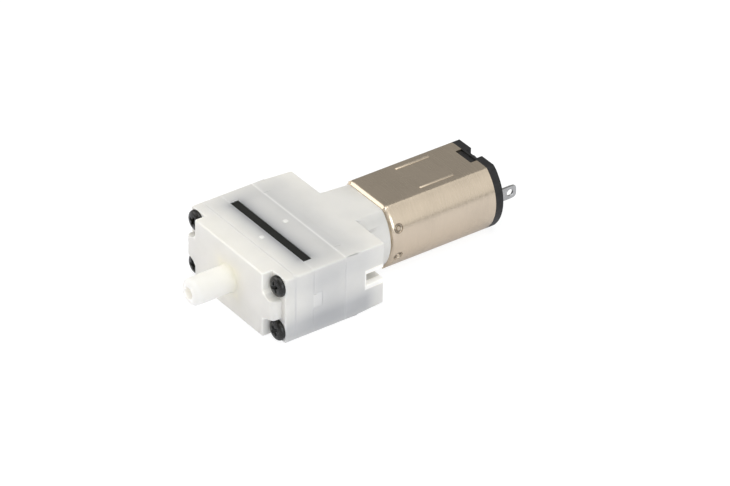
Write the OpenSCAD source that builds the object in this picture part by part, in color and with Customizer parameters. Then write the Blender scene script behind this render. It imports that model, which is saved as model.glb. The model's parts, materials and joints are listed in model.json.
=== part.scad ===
// Micro vacuum pump: a flat brushed motor turns a slanted crank pin, whose rocker works two rubber cups.
// Millimetres. Y runs from the hose nozzle in front to the motor terminals behind, and Z is up.
// The origin is on the motor axis, in the front face of the cover, where the nozzle starts.

/* [Head] */
// Wall between the screws and the head's sides
side_wall = 0.77; // [0.6:0.01:1.2]
// Height of the pump head
head_h = 12; // [11.8:0.1:15]
// Radius of the head's four long edges
head_edge_r = 0.3; // [0.2:0.1:1]
// Radius of the upright edges at the back of the head
rear_edge_r = 0.3; // [0.2:0.1:1]
// Depth of the moulded cover, front face to seam
cover_t = 3.9; // [3.7:0.1:5]
// Depth of the valve plate
plate_t = 3.5; // [3.3:0.1:4.5]
// Depth of the diaphragm frame at its sides
frame_t = 6.2; // [6:0.1:7]
// How far the middle of the frame reaches into the crankcase
tongue_t = 1.4; // [1:0.1:1.8]
// How much narrower than the rubber flange that part is, on each side
tongue_step = 0.6; // [0.4:0.1:0.9]
// Depth of the crankcase block at its sides
case_t = 7.7; // [7.5:0.1:9]
// Draft of the crankcase's sides, which narrow towards the motor
case_draft = 2.3; // [1:0.1:2.6]

/* [Cover] */
// Distance from the screws' axes to the side of the cover's raised middle
block_step = 1.95; // [1.8:0.05:2.2]
// Step from the head's sides to the cover's side ears
ear_step = 1; // [0.7:0.1:1.4]
// Depth of the screw recesses below the front face
recess_t = 1.9; // [1.7:0.1:2.2]
// Radius of the upright front edges of the ears
ear_edge_r = 1.2; // [0.6:0.1:1.6]
// Radius of the upper and lower front edges
front_edge_r = 0.3; // [0.2:0.1:0.8]
// How far the inlet chamber reaches past the axis of each inlet valve
inlet_side = 1.45; // [1:0.05:1.6]
// Height of the inlet chamber
inlet_h = 4.4; // [3:0.1:4.6]
// Width of one outlet pocket
outlet_w = 3.6; // [3.4:0.1:3.8]
// Height of the outlet pockets
outlet_h = 7.6; // [7.4:0.1:8.4]
// Height of the channel that joins the outlet pockets
channel_h = 1.1; // [0.8:0.1:1.2]
// Depth of the chambers in front of the gasket
chamber_t = 1; // [0.8:0.1:1.1]
// Radius of the exhaust hole in the underside
exhaust_r = 0.45; // [0.3:0.05:0.45]

/* [Nozzle] */
// Outer radius of the hose nozzle
nozzle_r = 2.35; // [2.25:0.05:3]
// Length of the nozzle in front of the cover
nozzle_l = 7.7; // [5:0.1:12]
// Radius of the air passage
nozzle_bore_r = 1.1; // [0.8:0.05:1.25]
// Radius of the nozzle's front edge
nozzle_edge_r = 1; // [0.2:0.1:1]

/* [Gasket] */
// Thickness of the cover gasket
gasket_t = 0.5; // [0.3:0.1:0.6]
// Rim of the gasket beside the outlet pockets
gasket_rim = 0.75; // [0.5:0.05:0.9]
// Height of the cover gasket
gasket_h = 10; // [9.6:0.1:10.4]

/* [Housing screws] */
// Plastic left between a screw and the rubber flange
screw_web = 0.22; // [0.15:0.01:0.5]
// Radius of the screw shank
screw_r = 0.98; // [0.8:0.02:1]
// Radius of the pan head
screw_head_r = 1.85; // [1.7:0.05:2]
// Height of the pan head
screw_head_h = 1.4; // [1.2:0.1:1.6]
// Length of the shank
screw_l = 16; // [14:0.5:16.5]
// Clearance round the shank in the parts that it clamps
screw_gap = 0.07; // [0.04:0.01:0.1]
// Clearance round a screw head in its recess
head_gap = 0.45; // [0.3:0.05:0.5]

/* [Valves] */
// Distance of each valve from the middle of its chamber
valve_dx = 2.35; // [2.3:0.05:2.4]
// Radius of a valve's sealing disc
disc_r = 1.9; // [1.6:0.05:1.95]
// Thickness of the sealing disc
disc_t = 0.5; // [0.4:0.05:0.6]
// Radius of the valve stem
stem_r = 0.5; // [0.4:0.05:0.55]
// Radius of the knob that keeps the stem in its hole
knob_r = 0.85; // [0.7:0.05:0.9]
// Length of that knob
knob_t = 0.6; // [0.4:0.05:0.6]
// Height that the valve lifts off its seat
valve_lift = 0.3; // [0.2:0.05:0.35]
// Depth of the pocket round the sealing disc
disc_pocket_t = 1.2; // [1:0.1:1.3]
// Depth of the pocket round the knob
knob_pocket_t = 1.1; // [1.05:0.05:1.2]
// Radius of each air port under a disc
port_r = 0.38; // [0.25:0.01:0.4]
// Number of air ports under a disc
port_count = 6; // [4:1:6]

/* [Diaphragm] */
// Thickness of the clamped rubber flange, seen as the dark bar on top
flange_t = 1.6; // [1.4:0.1:1.8]
// Rim of the flange beside a cup
flange_rim = 0.65; // [0.5:0.05:0.8]
// Gap between the two cups
chamber_gap = 1.6; // [1.4:0.1:2]
// Outer radius of a pumping cup
cup_r = 4.4; // [4.2:0.05:4.5]
// Rubber wall of a cup
cup_wall = 0.6; // [0.4:0.05:0.8]
// Depth of a cup behind the flange
cup_t = 2.6; // [2.2:0.1:2.8]
// Thickness of the floor of a cup
cup_floor_t = 0.9; // [0.6:0.1:1.2]
// Radius of the nipple's neck in the rocker
neck_r = 1; // [0.8:0.05:1.05]
// Radius of the nipple's bulb behind the rocker
bulb_r = 1.5; // [1.4:0.05:1.6]
// Length of the bulb
bulb_t = 1.2; // [1:0.1:1.3]

/* [Rocker and crank] */
// Slant of the crank pin, which sets the stroke of the cups
slant = 7; // [4:0.5:7.5]
// Thickness of the rocker's arms
arm_t = 1.4; // [1.2:0.1:1.5]
// Radius of the round end of an arm
eye_r = 2.3; // [2:0.1:2.4]
// Half the width of an arm
arm_half_w = 1.5; // [1.2:0.1:2]
// Radius of the rocker's hub
hub_r = 2.5; // [2.1:0.1:2.8]
// Height of the stiffening ribs behind the arms
rib_h = 1.1; // [0.6:0.1:1.3]
// Thickness of those ribs
rib_t = 0.8; // [0.6:0.1:1.2]
// Radius of the crank pin
pin_r = 0.75; // [0.6:0.05:0.8]
// Running clearance of the rocker on the pin
pin_gap = 0.03; // [0.02:0.01:0.06]
// Radius of the crank wheel
wheel_r = 4.4; // [4:0.1:4.5]
// Length of the crank wheel
wheel_l = 5.8; // [5.2:0.1:6.2]
// Radius of the wheel's hub beside its balance relief
wheel_hub_r = 2.9; // [2.7:0.1:3.2]
// Depth of the balance relief
relief_t = 2.2; // [1:0.1:2.4]

/* [Crankcase] */
// Length of the motor holder behind the head
holder_l = 5.6; // [5.4:0.1:8]
// Radius of the motor holder's round sides at the can
holder_r = 7.15; // [7:0.05:7.3]
// Radius of those sides where they leave the head
holder_root_r = 7.5; // [7.3:0.05:7.6]
// Thickness of the wall that carries the motor
wall_t = 2.8; // [2.5:0.1:3.2]
// Height of the slots between the screw bosses
slot_h = 2.1; // [1.6:0.1:3]
// Length of those slots from the back face
slot_l = 3.5; // [2:0.1:3.8]
// How deep those slots go in from the side
slot_w = 3.3; // [2:0.1:3.4]
// Width of the locating tabs on the sides of the valve plate
tab_h = 2.5; // [1.8:0.1:3]
// Thickness of those tabs
tab_t = 0.9; // [0.6:0.1:1]

/* [Motor] */
// Length of the steel can
can_l = 20.9; // [19.9:0.1:30]
// Diameter of the can over its round sides
can_d = 15.2; // [15:0.1:16]
// Height of the can over its flats
can_h = 12; // [12:0.1:12.4]
// Thickness of the can's wall
can_wall = 0.5; // [0.4:0.05:0.55]
// Thickness of the can's front wall
can_front_t = 0.8; // [0.6:0.1:1]
// Radius of the can's front edge
can_edge_r = 0.7; // [0.3:0.1:0.9]
// Radius of the shaft
shaft_r = 0.75; // [0.6:0.05:0.8]
// Running clearance of the shaft in its bearings
shaft_gap = 0.02; // [0.01:0.01:0.05]
// Outer radius of the front bearing
front_bearing_r = 2; // [1.6:0.1:2.1]
// Radius of the drawn boss round the front bearing
boss_r = 2.5; // [2.4:0.05:2.6]
// Height of that boss
boss_t = 0.8; // [0.5:0.1:1]
// Outer radius of the rear bearing
rear_bearing_r = 1.6; // [1.4:0.1:1.8]
// Length of each bearing
bearing_l = 1.9; // [1.5:0.1:2]
// Distance between the motor screws
motor_screw_dx = 8; // [7.8:0.1:8.4]
// Radius of the motor screws' shanks
motor_screw_r = 0.8; // [0.6:0.05:0.82]
// Radius of the motor screws' heads
motor_head_r = 1.5; // [1.3:0.05:1.55]
// Height of the motor screws' heads
motor_head_h = 1; // [0.8:0.1:1.1]
// Air gap between the armature and the magnets
air_gap = 0.45; // [0.3:0.05:0.6]
// Half of the angle that a magnet spans
magnet_half_angle = 50; // [40:1:50]
// Distance of the magnets from both ends of the can
magnet_inset = 3.2; // [2.6:0.1:4]
// Distance of the armature from the insides of the can's flats
armature_clear = 0.8; // [0.7:0.05:1.2]
// Distance of the armature from both ends of the can's inside
armature_inset = 5; // [4.6:0.1:5.4]
// Number of armature poles
pole_count = 3; // [3:1:3]
// Width of the iron neck of a pole
pole_neck_w = 1.6; // [1.2:0.1:1.8]
// Thickness of a winding beside its pole
coil_t = 0.75; // [0.5:0.05:0.8]
// Radius of the commutator
commutator_r = 1.7; // [1.5:0.1:1.8]
// Length of the commutator
commutator_l = 2.6; // [2:0.1:2.6]

/* [Can details] */
// Distance between the two pressed beads on the upper flat
bead_dx = 6.7; // [5:0.1:7.4]
// Length of a pressed bead
bead_l = 6.9; // [4:0.1:7]
// Width of a pressed bead
bead_w = 0.5; // [0.3:0.05:0.7]
// Height of a pressed bead
bead_h = 0.14; // [0.08:0.02:0.2]
// Distance of the beads from the back of the can
bead_inset = 5.7; // [4:0.1:7]
// Angle of the staking dimples above and below the middle
dimple_angle = 20.5; // [12:0.5:24]
// Radius of a staking dimple
dimple_r = 0.75; // [0.4:0.05:0.8]
// Depth of a staking dimple
dimple_t = 0.2; // [0.1:0.05:0.25]
// Width of the window at the back of the upper flat
window_w = 4.2; // [3:0.1:4.6]
// Length of that window
window_l = 1.3; // [0.8:0.1:1.6]

/* [End cap and terminals] */
// Visible length of the end cap
cap_t = 1.5; // [1.2:0.05:1.8]
// Length of the end cap inside the can
plug_l = 2; // [1.6:0.1:2.2]
// Wall of the part inside the can
plug_wall = 1; // [0.8:0.1:1.2]
// Width of the slot in the top of the end cap
cap_slot_w = 2.9; // [2:0.1:3.4]
// Depth of that slot below the flat
cap_slot_h = 1.1; // [0.6:0.1:1.4]
// Distance between the terminal tabs
terminal_dx = 10.9; // [10.2:0.1:11.2]
// Width of a terminal tab
terminal_w = 2.35; // [2:0.05:2.6]
// Thickness of a terminal tab
terminal_t = 0.4; // [0.3:0.05:0.5]
// Length of a terminal tab behind the end cap
terminal_l = 4.1; // [3.4:0.1:6]
// Distance from the terminal's end to the middle of its wire hole
terminal_hole_inset = 1.3; // [1:0.1:1.6]
// Radius of the wire hole in a terminal
terminal_hole_r = 0.6; // [0.4:0.05:0.7]
// Thickness of a brush leaf
brush_t = 0.15; // [0.1:0.01:0.2]
// Width of a brush leaf
brush_w = 1.8; // [1.2:0.1:2]

/* [Hidden] */
$fn = 48;

// Gap between pieces that seat on each other, and between pieces pressed together
seat_gap = 0.05;
press_gap = 0.01;
// A cut runs this far past the face that it opens
cut = 0.5;

// Widths of the head, from the cups out to the sides
chamber_x = cup_r + chamber_gap / 2;
flange_w = 2 * (chamber_x + cup_r + flange_rim);
screw_dx = flange_w + 2 * (screw_r + screw_web);
head_w = screw_dx + 2 * (screw_r + side_wall);
tongue_w = flange_w - 2 * tongue_step;
block_w = screw_dx - 2 * block_step;
ear_w = head_w - 2 * ear_step;
inlet_w = 2 * (chamber_x - valve_dx + inlet_side);
gasket_w = 2 * (chamber_x + valve_dx + outlet_w / 2 + gasket_rim);

// The screw heads lie flush with the top and the underside of the head
screw_dz = head_h - 2 * screw_head_r;

// Places along the pump
y_cover = cover_t;
y_plate = y_cover + plate_t;
y_flange = y_plate + flange_t;
y_frame = y_plate + frame_t;
y_tongue = y_frame + tongue_t;
y_case = y_frame + case_t;
y_can = y_case + holder_l;
y_can_rear = y_can + can_l;
y_cap = y_can_rear + cap_t;
y_wall = y_can - wall_t;

// The rocker swings about the point where the slanted pin's axis meets the motor axis
cup_gap = 0.4;
y_pivot = y_flange + cup_t + cup_gap + arm_t / 2;
wheel_rear_gap = 1.1;
wheel_front_gap = 1;
y_wheel_rear = y_wall - wheel_rear_gap;
y_wheel = y_wheel_rear - wheel_l;
hub_back = (y_wheel - wheel_front_gap - y_pivot) / cos(slant);
socket_start = 0.6;
pin_start = socket_start + 0.2;
shaft_grip = 2.8;
y_shaft = y_wheel_rear - shaft_grip;
pin_end = (y_shaft - 0.4 - y_pivot) / cos(slant);

// Inside of the head
port_ring_r = 1.3;
port_margin = 0.15;
pocket_gap = 0.3;
cup_hole_r = cup_r + 0.3;
cup_hole_end = y_flange + cup_t + 0.3;
swing_w = 2 * (chamber_x + eye_r + 1.1);
swing_h = 9;
swing_start = y_flange + 2;
bulb_relief_w = 2 * (chamber_x + bulb_r + 1.3);
bulb_relief_h = 2 * (bulb_r + 1);
bulb_relief_t = 1.4;
drum_r = wheel_r + 0.6;
mark_x = 0.85;
plate_mark_y = 2;
frame_mark_y = 4.3;
mark_r = 0.45;
mark_t = 0.1;

// How the motor is held: sunk screw heads, a clear hole round the shaft, blind ends under the screws
sink_gap = 0.2;
y_motor_seat = y_wall + motor_head_h + sink_gap;
thread_past = 0.4;
shaft_hole_gap = 0.5;
blind_end = 1;

// The crankcase's draft starts behind a short straight land at the seam
y_land = y_frame + 0.3;

// Inside of the motor
can_r = can_d / 2;
can_in_r = can_r - can_wall;
can_in_h = can_h - 2 * can_wall;
y_can_in = y_can + can_front_t;
y_plug = y_can_rear - plug_l;
magnet_r = can_in_r - seat_gap;
armature_r = can_in_h / 2 - armature_clear;
magnet_in_r = armature_r + air_gap;
y_core = y_can + armature_inset;
y_core_end = y_can_rear - plug_l - armature_inset;
core_hub_r = 1.8;
shoe_r = armature_r - 0.8;
coil_start = core_hub_r + 0.1;
coil_end = shoe_r - 0.4;
coil_over = 1.1;
slot_mouth = 0.8;
y_front_bearing = y_can - boss_t;
y_rear_bearing = y_can_rear + cap_t - 0.55 - bearing_l;
y_shaft_end = y_rear_bearing + bearing_l - 0.1;
y_commutator = y_core_end + coil_over + 0.4;
washer_r = 1.4;
washer_t = 0.35;

milky = [0.93, 0.93, 0.91];
black_rubber = [0.13, 0.13, 0.12];
silicone = [0.85, 0.84, 0.8];
acetal = [0.94, 0.94, 0.95];
screw_black = [0.1, 0.1, 0.11];
can_nickel = [0.72, 0.67, 0.6];
steel = [0.75, 0.76, 0.78];
copper = [0.78, 0.44, 0.24];
magnet_grey = [0.26, 0.26, 0.28];
bronze = [0.62, 0.5, 0.32];
cap_black = [0.09, 0.09, 0.09];

function arc(centre, r, from, to, steps = 6) =
    [for (i = [0:steps]) let (a = from + (to - from) * i / steps) centre + r * [cos(a), sin(a)]];

function rounded_rectangle(w, h, r) = concat(
    arc([w / 2 - r, h / 2 - r], r, 0, 90), arc([r - w / 2, h / 2 - r], r, 90, 180),
    arc([r - w / 2, r - h / 2], r, 180, 270), arc([w / 2 - r, r - h / 2], r, 270, 360));

// The round recesses above and below leave a side ear of this height
notch_r = screw_head_r + head_gap;
ear_h = screw_dz - 2 * notch_r;
ear_corner_r = 0.4;
notch_start = 180 + acos((screw_dx - block_w) / 2 / notch_r);

// One quarter of the cover's raised outline: block, round screw recess and side ear
function cover_quarter() = concat(
    [[block_w / 2, head_h / 2]],
    arc([screw_dx / 2, screw_dz / 2], notch_r, notch_start, 270, 8),
    arc([ear_w / 2 - ear_corner_r, ear_h / 2 - ear_corner_r], ear_corner_r, 90, 0, 4));

function flip_x(points) = [for (i = [len(points) - 1:-1:0]) [-points[i][0], points[i][1]]];
function flip_z(points) = [for (i = [len(points) - 1:-1:0]) [points[i][0], -points[i][1]]];

// Extrudes an X-Z outline along Y
module along_y(from, to) {
    translate([0, to, 0]) rotate([90, 0, 0]) linear_extrude(to - from) children();
}

module rod(r, from, to, x = 0, z = 0) {
    translate([x, to, z]) rotate([90, 0, 0]) cylinder(r = r, h = to - from);
}

// Revolves a profile of [radius, y] points round an axis along Y
module turned(x = 0, z = 0) {
    translate([x, 0, z]) rotate([-90, 0, 0]) rotate_extrude() children();
}

module head_outline() {
    polygon(rounded_rectangle(head_w, head_h, head_edge_r));
}

module can_outline(r, h) {
    intersection() {
        circle(r = r, $fn = 96);
        square([2 * r + 1, h], center = true);
    }
}

module at_screws() {
    for (x = [-1, 1], z = [-1, 1]) translate([x * screw_dx / 2, 0, z * screw_dz / 2]) children();
}

module screw_holes(from, to, gap) {
    at_screws() rod(screw_r + gap, from, to);
}

// Turns the slanted crank axis on to Y, with the rocker's pivot at the origin
module on_slanted_axis() {
    translate([0, y_pivot, 0]) rotate([slant, 0, 0]) children();
}

// Domed head with a cross recess; its seat lies at y = 0 and its top at y = -h
module pan_head(r, h) {
    dome_t = h * 0.55;
    dome_end = 78;
    cross_l = r * 1.1;
    cross_w = r * 0.22;
    cross_floor = h * 0.35;
    dome = [for (a = [0:dome_end / 6:dome_end]) [r * cos(a), dome_t - h - dome_t * sin(a) / sin(dome_end)]];
    difference() {
        turned() polygon(concat([[0, 0], [r, 0]], dome, [[0, -h]]));
        for (a = [0, 90]) rotate([90, a, 0]) translate([-cross_l / 2, -cross_w / 2, cross_floor])
            cube([cross_l, cross_w, h]);
    }
}

module screw(r, head_r, head_h, l) {
    union() {
        pan_head(head_r, head_h);
        rod(r, -head_h * 0.2, l);
    }
}

module front_cover() {
    color(milky) difference() {
        union() {
            along_y(recess_t, y_cover) head_outline();
            cover_block();
            nozzle_tube();
        }
        screw_holes(-cut, y_cover + cut, screw_gap);
        rod(nozzle_bore_r, -nozzle_l - cut, y_cover);
        along_y(y_cover - gasket_t, y_cover + cut)
            square([gasket_w + 2 * seat_gap, gasket_h + 2 * seat_gap], center = true);
        along_y(y_cover - gasket_t - chamber_t, y_cover) {
            inlet_window();
            outlet_window();
        }
        translate([0, y_cover - gasket_t - chamber_t / 2, -head_h / 2 - cut])
            cylinder(r = exhaust_r, h = head_h / 2 - outlet_h / 2 + channel_h / 2 + cut);
    }
}

module cover_block() {
    quarter = cover_quarter();
    half = concat(quarter, flip_z(quarter));
    intersection() {
        along_y(0, recess_t + cut) polygon(concat(half, flip_x(half)));
        translate([0, 0, -head_h]) linear_extrude(2 * head_h) polygon(concat(
            arc([ear_edge_r - ear_w / 2, ear_edge_r], ear_edge_r, 180, 270),
            arc([ear_w / 2 - ear_edge_r, ear_edge_r], ear_edge_r, 270, 360),
            [[ear_w / 2, y_cover], [-ear_w / 2, y_cover]]));
        translate([-head_w, 0, 0]) rotate([90, 0, 90]) linear_extrude(2 * head_w) polygon(concat(
            arc([front_edge_r, front_edge_r - head_h / 2], front_edge_r, 270, 180, 4),
            arc([front_edge_r, head_h / 2 - front_edge_r], front_edge_r, 180, 90, 4),
            [[y_cover, head_h / 2], [y_cover, -head_h / 2]]));
    }
}

module nozzle_tube() {
    tip = arc([nozzle_r - nozzle_edge_r, nozzle_edge_r - nozzle_l], nozzle_edge_r, 270, 360);
    turned() polygon(concat([[0, -nozzle_l]], tip, [[nozzle_r, cut], [0, cut]]));
}

module inlet_window() {
    polygon(rounded_rectangle(inlet_w, inlet_h, 0.8));
}

// Two pockets over the outlet valves, joined below the inlet chamber
module outlet_window() {
    x = chamber_x + valve_dx;
    for (side = [-1, 1]) translate([side * x, 0]) polygon(rounded_rectangle(outlet_w, outlet_h, 0.8));
    translate([-x, -outlet_h / 2]) square([2 * x, channel_h]);
}

module cover_gasket() {
    color(silicone) along_y(y_cover - gasket_t, y_cover) difference() {
        square([gasket_w, gasket_h], center = true);
        inlet_window();
        outlet_window();
    }
}

// Pockets, stem hole and ports of a valve whose disc lies on the face at y_disc; dir is +1 when it opens to +Y
module valve_seat(x, dir) {
    y_disc = dir > 0 ? y_plate : y_cover;
    y_knob = dir > 0 ? y_cover : y_plate;
    disc_floor = y_disc - dir * disc_pocket_t;
    knob_floor = y_knob + dir * knob_pocket_t;
    rod(disc_r + pocket_gap, min(disc_floor, y_disc + dir * cut), max(disc_floor, y_disc + dir * cut), x);
    knob_room_r = port_ring_r + port_r + port_margin;
    rod(knob_room_r, min(knob_floor, y_knob - dir * cut), max(knob_floor, y_knob - dir * cut), x);
    rod(stem_r + seat_gap, y_cover, y_plate, x);
    for (i = [0:port_count - 1]) {
        a = 360 * i / port_count;
        rod(port_r, y_cover + 0.2, y_plate - 0.2, x + port_ring_r * cos(a), port_ring_r * sin(a));
    }
}

module valve_plate() {
    color(milky) difference() {
        union() {
            along_y(y_cover, y_plate) head_outline();
            for (side = [-1, 1]) mirror([side < 0 ? 1 : 0, 0, 0])
                translate([head_w / 2 - tab_t, y_plate - cut, -tab_h / 2])
                    cube([tab_t, flange_t + cut, tab_h]);
            mould_mark(mark_x, y_cover + plate_mark_y);
        }
        screw_holes(y_cover - cut, y_plate + cut, screw_gap);
        for (side = [-1, 1]) {
            valve_seat(side * (chamber_x - valve_dx), 1);
            valve_seat(side * (chamber_x + valve_dx), -1);
        }
    }
}

// A small round mark left by the mould on the upper face
module mould_mark(x, y) {
    translate([x, y, head_h / 2 - cut]) cylinder(r = mark_r, h = cut + mark_t);
}

// A rubber mushroom valve at rest on its seat, opening towards dir
module valve(x, dir) {
    y_seat = dir > 0 ? y_plate - disc_pocket_t : y_cover + disc_pocket_t;
    y_stop = dir > 0 ? y_cover + knob_pocket_t : y_plate - knob_pocket_t;
    length = abs(y_seat - y_stop) + valve_lift + knob_t + seat_gap;
    lip = disc_t * 0.5;
    turn = dir > 0 ? 0 : 180;
    color(black_rubber) translate([x, y_seat + dir * press_gap, 0]) rotate([0, 0, turn]) turned() polygon([
        [0, -length], [knob_r * 0.6, -length], [knob_r, knob_t * 0.45 - length],
        [knob_r, knob_t - length], [stem_r, knob_t - length], [stem_r, 0],
        [disc_r, 0], [disc_r, lip], [stem_r * 1.6, disc_t], [0, disc_t]]);
}

module diaphragm() {
    rim = head_h / 2 - 0.08;
    color(black_rubber) difference() {
        union() {
            along_y(y_plate, y_flange) square([flange_w, 2 * rim], center = true);
            for (side = [-1, 1]) cup(side * chamber_x);
        }
        cup_end = y_flange + cup_t - cup_floor_t;
        for (side = [-1, 1]) rod(cup_r - cup_wall, y_plate - cut, cup_end, side * chamber_x);
    }
}

// One pumping cup with the nipple that is pulled through the rocker
module cup(x) {
    bend = 0.8;
    y_floor = y_flange + cup_t;
    y_bulb = y_pivot + arm_t / 2 + bulb_r * sin(slant) + 0.08;
    turned(x) polygon(concat([[0, y_flange - cut], [cup_r, y_flange - cut]],
        arc([cup_r - bend, y_floor - bend], bend, 0, 90),
        [[neck_r, y_floor], [neck_r, y_bulb], [bulb_r, y_bulb], [bulb_r, y_bulb + bulb_t * 0.4],
        [neck_r * 0.7, y_bulb + bulb_t], [0, y_bulb + bulb_t]]));
}

module diaphragm_frame() {
    color(milky) difference() {
        union() {
            along_y(y_plate, y_frame) head_outline();
            along_y(y_frame - cut, y_tongue) square([tongue_w, head_h], center = true);
            mould_mark(-mark_x, y_plate + frame_mark_y);
        }
        // slot that holds the rubber flange, open above and below
        along_y(y_plate - cut, y_flange) square([flange_w + 2 * seat_gap, head_h + 1], center = true);
        // notches for the valve plate's tabs
        for (side = [-1, 1]) mirror([side < 0 ? 1 : 0, 0, 0])
            translate([head_w / 2 - tab_t - seat_gap, y_plate - cut, -tab_h / 2 - seat_gap])
                cube([tab_t + seat_gap + cut, flange_t + cut + seat_gap, tab_h + 2 * seat_gap]);
        for (side = [-1, 1]) rod(cup_hole_r, y_flange - cut, cup_hole_end, side * chamber_x);
        along_y(swing_start, y_tongue + cut) polygon(rounded_rectangle(swing_w, swing_h, 2));
        screw_holes(y_plate - cut, y_frame + cut, screw_gap);
    }
}

module rocker() {
    hole_r = neck_r + 0.2;
    rib_x = chamber_x - bulb_r - 0.3;
    rib_top_x = hub_r - 0.3;
    rib_end_h = 0.3;
    color(acetal) on_slanted_axis() difference() {
        union() {
            rod(hub_r, -arm_t / 2, hub_back);
            along_y(-arm_t / 2, arm_t / 2) {
                square([2 * chamber_x, 2 * arm_half_w], center = true);
                for (side = [-1, 1]) translate([side * chamber_x, 0]) circle(r = eye_r);
            }
            translate([0, 0, -rib_t / 2]) linear_extrude(rib_t) polygon([
                [rib_x, 0], [rib_x, arm_t / 2 + rib_end_h], [rib_top_x, arm_t / 2 + rib_h],
                [-rib_top_x, arm_t / 2 + rib_h], [-rib_x, arm_t / 2 + rib_end_h], [-rib_x, 0]]);
        }
        rod(pin_r + pin_gap, socket_start, hub_back + cut);
        for (side = [-1, 1]) rod(hole_r, -arm_t, arm_t, side * chamber_x);
    }
}

module crank_pin() {
    color(steel) on_slanted_axis() rod(pin_r, pin_start, pin_end);
}

module crank_wheel() {
    color(acetal) difference() {
        rod(wheel_r, y_wheel, y_wheel_rear);
        // relief on the pin's side, which balances the rocker
        along_y(y_wheel - cut, y_wheel + relief_t) difference() {
            translate([-wheel_r - 1, 0]) square([2 * wheel_r + 2, wheel_r + 1]);
            circle(r = wheel_hub_r);
        }
        on_slanted_axis() rod(pin_r + press_gap, 0, pin_end + press_gap);
        rod(shaft_r + press_gap, y_shaft - 0.1, y_wheel_rear + cut);
    }
}

// Half of a size of the crankcase at y, after its draft
function drafted(size, y) = size / 2 - (y - y_land) * tan(case_draft);

// The head's last layer, narrowing to the back
module case_block() {
    x_rear = drafted(head_w, y_case) - rear_edge_r;
    y_rear = y_case - rear_edge_r;
    x_start = drafted(head_w, y_frame - 1);
    intersection() {
        along_y(y_frame, y_case) head_outline();
        translate([0, 0, -head_h]) linear_extrude(2 * head_h) polygon(concat(
            [[-x_start, y_frame - 1], [x_start, y_frame - 1]],
            arc([x_rear, y_rear], rear_edge_r, 0, 90), arc([-x_rear, y_rear], rear_edge_r, 90, 180)));
    }
}

// Keeps what lies between the crankcase's drafted upper and lower faces
module between_drafted_faces() {
    from = y_frame - 1;
    to = y_can + cut;
    intersection() {
        children();
        translate([-head_w, 0, 0]) rotate([90, 0, 90]) linear_extrude(2 * head_w) polygon([
            [from, drafted(head_h, from)], [to, drafted(head_h, to)],
            [to, -drafted(head_h, to)], [from, -drafted(head_h, from)]]);
    }
}

module crankcase() {
    color(milky) difference() {
        between_drafted_faces() union() {
            case_block();
            turned() polygon([
                [0, y_case - cut], [holder_root_r, y_case - cut], [holder_r, y_can], [0, y_can]]);
        }
        // seat of the frame's tongue
        along_y(y_frame - cut, y_tongue) square([tongue_w + 2 * seat_gap, head_h + 1], center = true);
        // room for the rocker and the nipples' bulbs, then for the crank wheel
        along_y(y_tongue - cut, y_tongue + bulb_relief_t)
            polygon(rounded_rectangle(bulb_relief_w, bulb_relief_h, 1.5));
        rod(drum_r, y_tongue - cut, y_wall);
        for (side = [-1, 1]) rod(motor_head_r + sink_gap, y_tongue, y_motor_seat, side * motor_screw_dx / 2);
        rod(boss_r + seat_gap, y_can - boss_t - sink_gap, y_can + cut);
        rod(shaft_r + shaft_hole_gap, y_wall - cut, y_can);
        for (side = [-1, 1]) rod(motor_screw_r + screw_gap, y_wall, y_can + cut, side * motor_screw_dx / 2);
        screw_holes(y_frame - cut, recess_t + screw_l + blind_end, press_gap);
        for (side = [-1, 1]) mirror([side < 0 ? 1 : 0, 0, 0])
            translate([head_w / 2 - slot_w, y_case - slot_l, -slot_h / 2])
                cube([slot_w + cut, slot_l + cut, slot_h]);
    }
}

module housing_screws() {
    color(screw_black) at_screws() translate([0, recess_t, 0])
        screw(screw_r, screw_head_r, screw_head_h, screw_l);
}

module motor_screws() {
    shank = y_can_in + thread_past - y_motor_seat;
    color(steel) for (side = [-1, 1]) translate([side * motor_screw_dx / 2, y_motor_seat, 0])
        screw(motor_screw_r, motor_head_r, motor_head_h, shank);
}

// The can's outside, with its drawn front edge rounded on the round sides and on the flats
module can_body(from, to, r, h, edge) {
    intersection() {
        turned() polygon(concat(
            [[0, from]], arc([r - edge, from + edge], edge, 270, 360), [[r, to], [0, to]]));
        translate([-can_d, 0, 0]) rotate([90, 0, 90]) linear_extrude(2 * can_d) polygon(concat(
            arc([from + edge, edge - h / 2], edge, 270, 180), arc([from + edge, h / 2 - edge], edge, 180, 90),
            [[to, h / 2], [to, -h / 2]]));
    }
}

// A pressed bead with round ends, of which a shallow cap stands out of the upper flat
module bead(x, from, to) {
    r = (bead_w * bead_w / 4 + bead_h * bead_h) / (2 * bead_h);
    translate([x, 0, can_h / 2 + bead_h - r]) {
        rod(r, from + bead_w / 2, to - bead_w / 2);
        for (y = [from + bead_w / 2, to - bead_w / 2]) translate([0, y, 0]) rotate([90, 0, 0]) sphere(r = r);
    }
}

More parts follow.
